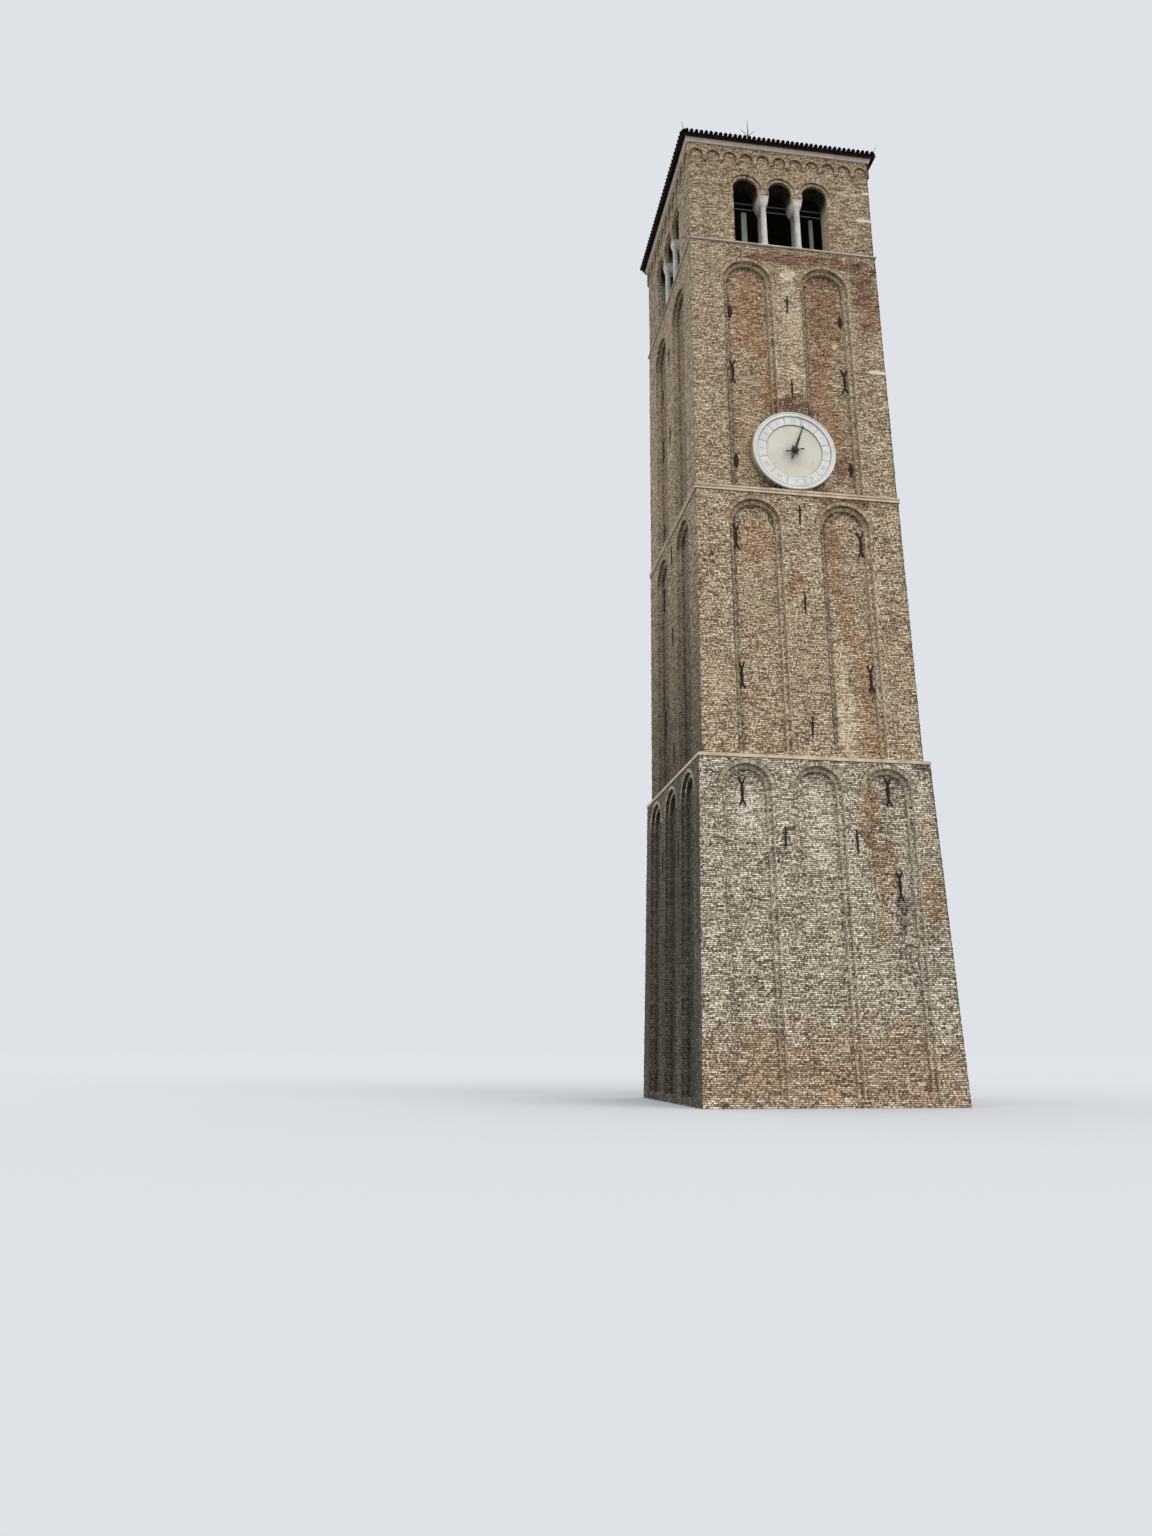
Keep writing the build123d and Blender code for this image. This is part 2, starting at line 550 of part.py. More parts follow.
# Clock rim: two raised fillets with a groove between them, turned round the clock's centre
clock_axis = Axis((CLOCK_OFFSET, 0, CLOCK_HEIGHT), (0, 1, 0))
with BuildPart() as clock_rim:
    with BuildSketch(Plane(origin=(CLOCK_OFFSET, 0, CLOCK_HEIGHT), x_dir=(1, 0, 0), z_dir=(0, 0, 1))):
        with BuildLine():
            rim_front = -(CLOCK_FACE + CLOCK_RIM_REACH)
            groove = rim_front + RIM_GROOVE_DEPTH
            Polyline((CLOCK_RADIUS, -CLOCK_SEAT), (CLOCK_RADIUS, rim_front),
                     (CLOCK_RADIUS - RIM_FILLET_WIDTH, rim_front), (CLOCK_RADIUS - RIM_FILLET_WIDTH, groove),
                     (RING_OUTER + RIM_FILLET_WIDTH, groove), (RING_OUTER + RIM_FILLET_WIDTH, rim_front),
                     (RING_OUTER, rim_front), (RING_OUTER, -CLOCK_SEAT), close=True)
        make_face()
    revolve(axis=clock_axis)
save(clock_rim.part, "clock_rim")

# Hour stones: a flat ring parted by radial joints, each joint halfway between two hours
with BuildPart() as hour_stones:
    with BuildSketch(front_plane(CLOCK_SEAT, CLOCK_OFFSET, CLOCK_HEIGHT)):
        Circle(RING_OUTER - STONE_JOINT)
        Circle(RING_INNER, mode=Mode.SUBTRACT)
        half_hour = 180 / HOUR_STONES
        with PolarLocations((RING_OUTER + RING_INNER) / 2, HOUR_STONES, start_angle=half_hour):
            Rectangle(2 * CLOCK_RING_WIDTH, STONE_JOINT, mode=Mode.SUBTRACT)
    extrude(amount=CLOCK_SEAT_DEPTH + CLOCK_RING_REACH)
save(hour_stones.part, "clock_hour_stones")

with BuildPart() as clock_disc:
    with BuildSketch(front_plane(CLOCK_SEAT, CLOCK_OFFSET, CLOCK_HEIGHT)):
        Circle(RING_INNER - STONE_JOINT)
    extrude(amount=CLOCK_SEAT_DEPTH + CLOCK_DISC_REACH)
save(clock_disc.part, "clock_disc")

# Spindle: a collar on the disc, the pin through the hand, and a nut in front of it
with BuildPart() as clock_spindle:
    disc_front = CLOCK_FACE + CLOCK_DISC_REACH
    nut_back = HAND_BACK + HUB_THICKNESS + COLLAR_GAP
    for start, end, radius in ((disc_front, HAND_BACK - COLLAR_GAP, SPINDLE_COLLAR),
                               (disc_front, nut_back, SPINDLE_RADIUS),
                               (nut_back, nut_back + SPINDLE_RADIUS, SPINDLE_COLLAR)):
        with BuildSketch(front_plane(start, CLOCK_OFFSET, CLOCK_HEIGHT)):
            Circle(radius)
        extrude(amount=end - start)
save(clock_spindle.part, "clock_spindle")

# The hand: a tapering pointer with a ball near its tip, a tail, two cross arms and two short stubs
with BuildPart() as clock_hand:
    lean = radians(HAND_ANGLE)
    hand_plane = Plane(origin=(CLOCK_OFFSET, -HAND_BACK, CLOCK_HEIGHT), x_dir=(cos(lean), 0, -sin(lean)),
                       z_dir=(0, -1, 0))
    with BuildSketch(hand_plane):
        with BuildLine():
            Polyline((-HAND_ROOT_WIDTH / 2, 0), (HAND_ROOT_WIDTH / 2, 0), (HAND_TIP_WIDTH / 2, HAND_LENGTH),
                     (-HAND_TIP_WIDTH / 2, HAND_LENGTH), close=True)
        make_face()
        with Locations((0, HAND_LENGTH)):
            Circle(HAND_BALL_RADIUS)
        with Locations((0, -HAND_TAIL / 2)):
            Rectangle(HAND_ARM_WIDTH, HAND_TAIL)
        Rectangle(2 * HAND_ARM_LENGTH, HAND_ARM_WIDTH)
        with Locations((0, 0, 0)):
            Rectangle(2 * HAND_STUB_LENGTH, HAND_ARM_WIDTH, rotation=135)
        Circle(SPINDLE_RADIUS + SPINDLE_CLEARANCE, mode=Mode.SUBTRACT)
    extrude(amount=HAND_THICKNESS)
    with BuildSketch(hand_plane):
        Circle(HUB_RADIUS)
        Circle(SPINDLE_RADIUS + SPINDLE_CLEARANCE, mode=Mode.SUBTRACT)
    extrude(amount=HUB_THICKNESS)
save(clock_hand.part, "clock_hand")

# Wall anchors, flat on the leaning faces and on the backs of the blind arches
def forked_anchor():
    with BuildSketch() as forked:
        bar_length = FORKED_LENGTH - 2 * FORK_LENGTH * cos(radians(FORK_LEAN))
        Rectangle(ANCHOR_WIDTH, bar_length)
        for end in (-1, 1):
            with Locations((0, end * bar_length / 2)):
                for turn in (90 * end - FORK_LEAN, 90 * end + FORK_LEAN):
                    Rectangle(FORK_LENGTH, ANCHOR_WIDTH, rotation=turn, align=(Align.MIN, Align.CENTER))
    return forked.sketch


def bar_anchor():
    with BuildSketch() as bar:
        Rectangle(ANCHOR_WIDTH, BAR_LENGTH)
        with Locations((0, BAR_CROSS)):
            Rectangle(BAR_CROSS, ANCHOR_WIDTH)
    return bar.sketch


def plate_anchor():
    with BuildSketch() as plate:
        with BuildLine():
            for side in (-1, 1):
                ThreePointArc((0, -PLATE_LENGTH / 2), (side * PLATE_WIDTH / 2, 0), (0, PLATE_LENGTH / 2))
        make_face()
    return plate.sketch


with BuildPart() as wall_anchors:
    fork, bar, plate = forked_anchor(), bar_anchor(), plate_anchor()
    for stage, shape, places in ((BASE, fork, BASE_FORKED), (BASE, bar, BASE_BARS),
                                 (MIDDLE, fork, MIDDLE_FORKED), (MIDDLE, bar, MIDDLE_BARS),
                                 (UPPER, plate, UPPER_PLATES), (UPPER, bar, UPPER_BARS)):
        for x, share, orders_back in places:
            with BuildSketch(stage.face().offset(-orders_back * ORDER_DEPTH)):
                with Locations((x, stage.along_face(stage.share_up(share)))):
                    add(shape)
            extrude(amount=ANCHOR_THICKNESS)
save_all_round(wall_anchors.part, "wall_anchors")
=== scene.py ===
"""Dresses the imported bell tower: brickwork, arches, stone, tiles, iron and the clock, then floor, light and camera."""
import logging
import math
import random
from dataclasses import dataclass, field
from enum import Enum
from typing import Iterable, Optional, Sequence, Union

import bmesh
import bpy
from bpy.types import Material, Mesh, Node, NodeSocket, NodeTree, Object
from mathutils import Matrix, Vector


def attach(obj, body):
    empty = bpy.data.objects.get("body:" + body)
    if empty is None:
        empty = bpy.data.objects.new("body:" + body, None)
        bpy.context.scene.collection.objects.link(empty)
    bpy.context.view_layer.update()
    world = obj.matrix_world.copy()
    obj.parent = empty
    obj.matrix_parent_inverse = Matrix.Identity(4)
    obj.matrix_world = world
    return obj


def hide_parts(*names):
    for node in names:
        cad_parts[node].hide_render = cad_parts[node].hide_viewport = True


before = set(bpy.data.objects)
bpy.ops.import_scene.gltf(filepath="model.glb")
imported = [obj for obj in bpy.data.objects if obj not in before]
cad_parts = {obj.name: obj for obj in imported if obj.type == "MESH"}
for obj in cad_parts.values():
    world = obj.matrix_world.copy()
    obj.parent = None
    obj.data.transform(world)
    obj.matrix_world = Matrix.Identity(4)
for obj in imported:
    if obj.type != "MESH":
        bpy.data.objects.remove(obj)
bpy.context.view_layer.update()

TOWER, HAND = "tower", "hand"
SMOOTH_UP_TO = math.radians(38)
MERGE_WITHIN = 1e-5
log = logging.getLogger("bell_tower")


def paint(code: str) -> tuple[float, float, float, float]:
    """Turns a colour written as six hex digits into linear light.

    Args:
        code: the colour as it looks on screen, such as "a8957f".

    Returns:
        Red, green, blue and full opacity for a node socket.
    """
    parts = [int(code[i:i + 2], 16) / 255 for i in (0, 2, 4)]
    linear = [p / 12.92 if p <= 0.04045 else ((p + 0.055) / 1.055) ** 2.4 for p in parts]
    return (linear[0], linear[1], linear[2], 1.0)


class Side(Enum):
    """The four faces of the tower and how far each is turned from the front, in degrees."""

    FRONT = 0
    RIGHT = 90
    BACK = 180
    LEFT = 270

    def turn(self) -> Matrix:
        """Returns the turn from the front to this side."""
        return Matrix.Rotation(math.radians(self.value), 4, "Z")

    def sense(self) -> int:
        """Returns 1 where the face's own across runs with the world's axis, and -1 where it runs against it."""
        return 1 if self in (Side.FRONT, Side.RIGHT) else -1


class Tint(Enum):
    """What a patch does to the bricks under it."""

    ORANGE = "orange"
    RED = "red"
    PALE = "pale"
    DARK = "dark"


class Nodes:
    """A node tree with short calls to add nodes and join them."""

    def __init__(self, tree: NodeTree) -> None:
        """Keeps the tree."""
        self.tree = tree

    def feed(self, value: object, socket: NodeSocket) -> None:
        """Links a wire or socket to a socket, or sets the socket to a plain value.

        Args:
            value: a Wire, an output socket or a plain value.
            socket: the input that takes it.
        """
        if isinstance(value, Wire):
            value = value.socket
        if isinstance(value, NodeSocket):
            self.tree.links.new(value, socket)
        else:
            socket.default_value = value

    def node(self, kind: str, inputs: Optional[dict] = None, **settings: object) -> Node:
        """Adds a node.

        Args:
            kind: the node's type name.
            inputs: values for its inputs, by name or number.
            **settings: its own properties.

        Returns:
            The new node.
        """
        made = self.tree.nodes.new(kind)
        for name, value in settings.items():
            setattr(made, name, value)
        for name, value in (inputs or {}).items():
            self.feed(value, made.inputs[name])
        return made


class Wire:
    """A number that flows between a material's nodes, with plain arithmetic."""

    def __init__(self, graph: "Graph", socket: NodeSocket) -> None:
        """Keeps the graph and the socket that the number comes out of."""
        self.graph, self.socket = graph, socket

    def through(self, operation: str, *others: "Number") -> "Wire":
        """Returns this number after one Math node."""
        return self.graph.math(operation, self, *others)

    def __add__(self, other: "Number") -> "Wire":
        """Returns the sum."""
        return self.through("ADD", other)

    def __sub__(self, other: "Number") -> "Wire":
        """Returns the difference."""
        return self.through("SUBTRACT", other)

    def __rsub__(self, other: "Number") -> "Wire":
        """Returns the difference from a plain number."""
        return self.graph.math("SUBTRACT", other, self)

    def __mul__(self, other: "Number") -> "Wire":
        """Returns the product."""
        return self.through("MULTIPLY", other)

    def __truediv__(self, other: "Number") -> "Wire":
        """Returns the quotient."""
        return self.through("DIVIDE", other)

    def __abs__(self) -> "Wire":
        """Returns the size without its sign."""
        return self.through("ABSOLUTE")

    def __gt__(self, other: "Number") -> "Wire":
        """Returns 1 where this is greater, else 0."""
        return self.through("GREATER_THAN", other)

    def __lt__(self, other: "Number") -> "Wire":
        """Returns 1 where this is less, else 0."""
        return self.through("LESS_THAN", other)

    __radd__, __rmul__ = __add__, __mul__

    def floor(self) -> "Wire":
        """Returns the whole number below."""
        return self.through("FLOOR")

    def least(self, other: "Number") -> "Wire":
        """Returns the smaller of two."""
        return self.through("MINIMUM", other)

    def most(self, other: "Number") -> "Wire":
        """Returns the larger of two."""
        return self.through("MAXIMUM", other)

    def kept(self) -> "Wire":
        """Returns the number held between 0 and 1."""
        return self.least(1.0).most(0.0)

    def ease(self, low: float, high: float) -> "Wire":
        """Returns a soft step: 0 at low, 1 at high."""
        made = self.graph.node("ShaderNodeMapRange", {"Value": self, "From Min": low, "From Max": high},
                               interpolation_type="SMOOTHSTEP")
        return Wire(self.graph, made.outputs["Result"])

    def spread(self, low: float, high: float, to_low: float, to_high: float) -> "Wire":
        """Returns the number stretched from one range to another, and held there."""
        made = self.graph.node("ShaderNodeMapRange", {"Value": self, "From Min": low, "From Max": high,
                                                      "To Min": to_low, "To Max": to_high})
        return Wire(self.graph, made.outputs["Result"])


Number = Union[Wire, float]
Colour = Union[NodeSocket, tuple]


class Graph(Nodes):
    """The nodes of one material, ending in a principled shader."""

    def __init__(self, name: str) -> None:
        """Makes the material and its shader.

        Args:
            name: the material's name.
        """
        self.material = bpy.data.materials.new(name)
        self.material.use_nodes = True
        super().__init__(self.material.node_tree)
        self.tree.nodes.clear()
        self.shader = self.node("ShaderNodeBsdfPrincipled")
        self.node("ShaderNodeOutputMaterial", {"Surface": self.shader.outputs[0]})

    def math(self, operation: str, *values: Number) -> Wire:
        """Returns the result of one Math node on up to three numbers."""
        made = self.node("ShaderNodeMath", dict(enumerate(values)), operation=operation)
        return Wire(self, made.outputs[0])

    def parts(self, vector: NodeSocket) -> tuple[Wire, Wire, Wire]:
        """Returns a vector's three numbers."""
        made = self.node("ShaderNodeSeparateXYZ", {0: vector})
        return tuple(Wire(self, out) for out in made.outputs)

    def vector(self, x: Number, y: Number, z: Number) -> NodeSocket:
        """Returns three numbers joined to a vector."""
        return self.node("ShaderNodeCombineXYZ", {0: x, 1: y, 2: z}).outputs[0]

    def place(self) -> NodeSocket:
        """Returns the point's place on the object, in metres."""
        return self.node("ShaderNodeTexCoord").outputs["Object"]

    def facing(self) -> tuple[Wire, Wire, Wire]:
        """Returns the way the surface faces."""
        return self.parts(self.node("ShaderNodeNewGeometry").outputs["True Normal"])

    def own(self, name: str) -> Wire:
        """Returns a number that the mesh itself carries."""
        return Wire(self, self.node("ShaderNodeAttribute", attribute_name=name).outputs["Fac"])

    def noise(self, vector: object, scale: float, detail: float = 3.0, rough: float = 0.55) -> Wire:
        """Returns soft noise from 0 to 1.

        Args:
            vector: where to read it.
            scale: lumps in a metre.
            detail: finer layers on it.
            rough: how strong those are.

        Returns:
            The noise, about 0.5 on average.
        """
        made = self.node("ShaderNodeTexNoise", {"Vector": vector, "Scale": scale, "Detail": detail,
                                                "Roughness": rough})
        return Wire(self, made.outputs["Fac"])

    def draws(self, x: Number, y: Number, z: Number) -> tuple[Wire, Wire, Wire]:
        """Returns three random numbers that stay the same over one brick."""
        made = self.node("ShaderNodeTexWhiteNoise", {"Vector": self.vector(x, y, z)}, noise_dimensions="3D")
        return self.parts(made.outputs["Color"])

    def ramp(self, factor: Number, stops: Sequence[tuple[float, str]]) -> NodeSocket:
        """Returns the colour at a factor along a row of colours.

        Args:
            factor: from 0 to 1.
            stops: places and hex colours.

        Returns:
            The colour.
        """
        made = self.node("ShaderNodeValToRGB", {0: factor})
        while len(made.color_ramp.elements) < len(stops):
            made.color_ramp.elements.new(0.5)
        for element, (place, code) in zip(made.color_ramp.elements, stops):
            element.position, element.color = place, paint(code)
        return made.outputs["Color"]

    def mix(self, factor: Number, first: Colour, second: Colour) -> NodeSocket:
        """Returns the first colour turned into the second by a factor.

        Args:
            factor: 0 keeps the first, 1 gives the second.
            first: the colour at 0.
            second: the colour at 1.

        Returns:
            The mixed colour.
        """
        made = self.node("ShaderNodeMix", data_type="RGBA")
        for value, socket in ((factor, made.inputs[0]), (first, made.inputs[6]), (second, made.inputs[7])):
            self.feed(value, socket)
        return made.outputs[2]

    def scaled(self, colour: Colour, factor: Number) -> NodeSocket:
        """Returns a colour made lighter or darker by a factor."""
        return self.node("ShaderNodeVectorMath", {0: colour, "Scale": factor}, operation="SCALE").outputs[0]

    def bump(self, height: Number, distance: float, strength: float = 1.0) -> None:
        """Gives the surface fine relief of some metres' depth from a height."""
        made = self.node("ShaderNodeBump", {"Height": height, "Distance": distance, "Strength": strength})
        self.feed(made.outputs[0], self.shader.inputs["Normal"])

    def done(self, colour: Colour, roughness: Number, specular: float = 0.3, metallic: float = 0.0) -> Material:
        """Sets the shader's colour, roughness, gloss and metal, and returns the material.

        Args:
            colour: its base colour.
            roughness: from 0, a mirror, to 1.
            specular: how strong its gloss is.
            metallic: 1 for bare metal.

        Returns:
            The finished material.
        """
        for value, name in ((colour, "Base Color"), (roughness, "Roughness"),
                            (specular, "Specular IOR Level"), (metallic, "Metallic")):
            self.feed(value, self.shader.inputs[name])
        return self.material


@dataclass(frozen=True)
class Bond:
    """The sizes of the bricks, and how their rows run."""

    course: float = 0.061
    header: float = 0.13
    stretcher: float = 0.27
    joint: float = 0.012
    waves: tuple = ((0.83, 0.007), (2.3, 0.004))

    def unit(self) -> float:
        """Returns the length of a header and a stretcher with their joints."""
        return self.header + self.stretcher

    def shift(self, row: int) -> float:
        """Returns how far a row is moved along, in units."""
        return 0.5 * row + 0.12 * math.sin(2.4 * row)

    def wobble(self, along: float) -> float:
        """Returns how far the rows rise or sink at a place along the wall."""
        return sum(size * math.cos(rate * along) for rate, size in self.waves)

    def row_height(self, row: int, along: float) -> float:
        """Returns the height of the middle of a row."""
        return (row + 0.5) * self.course - self.wobble(along)


@dataclass(frozen=True)
class Level:
    """One stage of the tower: how its faces lean, and its blind arches."""

    name: str
    foot: float
    top: float
    half_foot: float
    half_top: float
    centres: tuple[float, ...] = ()
    arch_half: float = 0.0
    crown: float = 0.0
    recess_foot: float = 0.0
    order: float = 0.15
    order_depth: float = 0.12

    def slope(self) -> float:
        """Returns how far the face leans in for each metre up."""
        return (self.half_foot - self.half_top) / (self.top - self.foot)

    def half(self, height: float) -> float:
        """Returns the half width of the stage at a height."""
        return self.half_foot - self.slope() * (height - self.foot)

    def springing(self) -> float:
        """Returns the height where the arches start to curve."""
        return self.crown - self.arch_half

    def orders_back(self, across: float, height: float) -> int:
        """Returns how many orders back the wall stands at a place on its face.

        Args:
            across: distance from the middle.
            height: height above the ground.

        Returns:
            0 on the face, and 1 or 2 in a blind arch.
        """
        for order in (2, 1):
            reach = self.arch_half - (order - 1) * self.order
            for centre in self.centres:
                aside, above = abs(across - centre), height - self.springing()
                if aside < reach and height > self.recess_foot and (above < 0 or math.hypot(aside, above) < reach):
                    return order
        return 0

    def rows(self) -> range:
        """Returns the rows of bricks that lie fully inside the stage."""
        return range(math.ceil(self.foot / BOND.course) + 1, math.floor(self.top / BOND.course) - 1)

    def on_face(self, side: Side, across: float, height: float, out: float = 0.0) -> Matrix:
        """Finds a place on the leaning face, with its own directions.

        Args:
            side: which face.
            across: distance to the right of the middle, as seen from outside.
            height: height above the ground.
            out: distance out of the face, or into it if below 0.

        Returns:
            A matrix whose axes run across, up the face and out of it.
        """
        lean = math.atan(self.slope())
        axes = Matrix(((1, 0, 0), (0, math.sin(lean), -math.cos(lean)), (0, math.cos(lean), math.sin(lean))))
        spot = Matrix.Translation((across, -self.half(height) - out, height))
        return side.turn() @ spot @ axes.to_4x4()


@dataclass(frozen=True)
class CorbelTable:
    """The row of small arches under the cornice."""

    count: int = 11
    pitch: float = 0.641
    radius: float = 0.255
    springing: float = 33.97
    reach: float = 0.055

    def centres(self) -> list[float]:
        """Returns how far each arch is from the middle of its side."""
        return [(i - (self.count - 1) / 2) * self.pitch for i in range(self.count)]


BOND = Bond()
BASE = Level("base", foot=0.0, top=10.57, half_foot=4.09, half_top=3.84, centres=(-2.33, 0.0, 2.33),
             arch_half=0.82, crown=10.37, recess_foot=0.26)
MIDDLE = Level("middle", foot=10.72, top=20.03, half_foot=3.69, half_top=3.61, centres=(-1.59, 1.59),
               arch_half=0.91, crown=19.78, recess_foot=10.84)
UPPER = Level("upper", foot=20.21, top=30.10, half_foot=3.59, half_top=3.525, centres=(-1.45, 1.45),
              arch_half=0.915, crown=29.45, recess_foot=20.27)
BELFRY = Level("belfry", foot=30.25, top=34.48, half_foot=3.5, half_top=3.5)
BELFRY_INSIDE = 2.78
CORBELS = CorbelTable()
CLOCK_ACROSS, CLOCK_HEIGHT = -0.07, 21.74

CREAM = ((0.0, "4a4034"), (0.25, "85796a"), (0.5, "b0a48f"), (0.75, "cfc6b3"), (1.0, "efe8d8"))
BEIGE = ((0.0, "55453a"), (0.25, "8a755e"), (0.5, "b09a7e"), (0.75, "cbba9f"), (1.0, "e9ddc6"))
ORANGE = ((0.0, "5a4333"), (0.3, "8f6d52"), (0.6, "b08d6c"), (1.0, "d6b999"))
RED = ((0.0, "3f2a23"), (0.35, "74503f"), (0.7, "9c7460"), (1.0, "cdae98"))


@dataclass(frozen=True)
class Patch:
    """A place on the front where the bricks differ from the rest of their wall."""

    tint: Tint
    across: float
    height: float
    half_width: float
    half_height: float
    strength: float = 1.0


def patches(rows: dict[Tint, Sequence[tuple]]) -> tuple[Patch, ...]:
    """Makes the patches of a table: across, height, half width, half height and strength, by tint."""
    return tuple(Patch(tint, *row) for tint, given in rows.items() for row in given)


BASE_PATCHES = {
    Tint.ORANGE: ((1.7, 8.8, 0.42, 1.5, 0.95), (2.1, 7.2, 0.5, 1.1, 0.7), (1.95, 5.5, 0.3, 0.8, 0.6),
        (3.6, 8.5, 0.35, 0.7, 0.5), (3.5, 6.2, 0.42, 1.0, 0.75), (0.0, 0.6, 7.0, 2.0, 0.6)),
    Tint.PALE: ((-2.3, 8.9, 0.5, 0.9, 0.5), (0.0, 8.6, 0.6, 1.4, 0.35)),
    Tint.DARK: ((1.85, 8.2, 0.6, 2.2, 0.32), (2.35, 5.4, 0.6, 1.6, 0.2), (3.5, 6.4, 0.5, 1.5, 0.25),
        # the two small dark patches at about 10.5 m are painted shade in putlog holes
        (3.5, 10.47, 0.36, 0.12, 2.2), (-1.49, 10.5, 0.06, 0.06, 1.5), (-2.86, 10.48, 0.06, 0.06, 1.5),
        (-2.42, 9.4, 0.17, 0.62, 0.4), (2.43, 9.5, 0.17, 0.65, 0.4), (2.56, 5.9, 0.2, 1.2, 0.75)),
}
MIDDLE_PATCHES = {
    Tint.ORANGE: ((1.15, 18.6, 0.42, 1.1, 1.0), (1.25, 17.2, 0.3, 1.0, 0.8), (1.5, 15.8, 0.32, 0.9, 0.75),
        (1.85, 14.3, 0.3, 1.0, 0.8), (2.02, 12.8, 0.26, 1.2, 0.95), (2.1, 11.4, 0.38, 0.6, 0.95),
        (-0.3, 16.67, 0.42, 0.45, 0.8), (-1.55, 18.4, 0.75, 1.0, 0.75)),
    Tint.RED: ((1.05, 18.8, 0.4, 0.8, 0.6), (1.7, 19.9, 1.1, 0.16, 1.1)),
    Tint.PALE: ((1.27, 12.0, 0.36, 1.4, 0.68), (1.15, 13.9, 0.32, 1.0, 0.4), (-3.1, 12.9, 0.3, 0.6, 0.35)),
    Tint.DARK: ((3.2, 18.6, 0.45, 0.22, 0.45), (-2.21, 18.3, 0.13, 0.65, 0.4), (2.21, 13.3, 0.15, 0.7, 0.35)),
}
UPPER_PATCHES = {
    Tint.ORANGE: ((-1.45, 27.7, 0.7, 2.1, 1.0), (-1.1, 25.9, 0.4, 0.6, 0.6), (1.45, 27.6, 0.75, 2.1, 0.75),
        (1.15, 24.3, 0.4, 1.3, 0.95), (1.55, 22.9, 0.4, 0.9, 0.95), (3.1, 27.2, 0.5, 0.5, 0.8),
        (-0.8, 24.2, 0.35, 0.9, 0.85), (-1.9, 22.4, 0.3, 0.7, 0.4)),
    Tint.RED: ((1.45, 28.4, 0.75, 1.1, 0.3), (1.1, 25.6, 0.5, 0.5, 0.5), (1.7, 21.4, 0.4, 0.5, 0.85),
        (0.0, 23.55, 0.95, 0.45, 0.8), (0.85, 29.72, 2.7, 0.34, 0.92), (3.0, 28.3, 0.55, 1.4, 0.95)),
    Tint.PALE: ((0.07, 29.03, 0.26, 0.26, 1.0), (0.05, 27.1, 0.5, 1.9, 0.4), (0.15, 24.8, 0.35, 0.55, 0.5)),
    Tint.DARK: ((1.45, 27.9, 0.75, 1.6, 0.3), (0.0, 23.5, 0.9, 0.4, 0.5), (0.85, 29.72, 2.7, 0.4, 0.25),
        (3.05, 28.9, 0.6, 1.2, 0.3), (-2.35, 24.2, 0.14, 2.2, 0.35)),
}
BELFRY_PATCHES = {
    Tint.ORANGE: ((1.95, 31.0, 0.24, 0.7, 0.9),),
    Tint.RED: ((2.02, 31.0, 0.12, 0.5, 0.5), (-1.5, 33.4, 0.9, 0.22, 0.5)),
    Tint.PALE: ((2.76, 32.97, 0.5, 0.1, 0.8),),
}


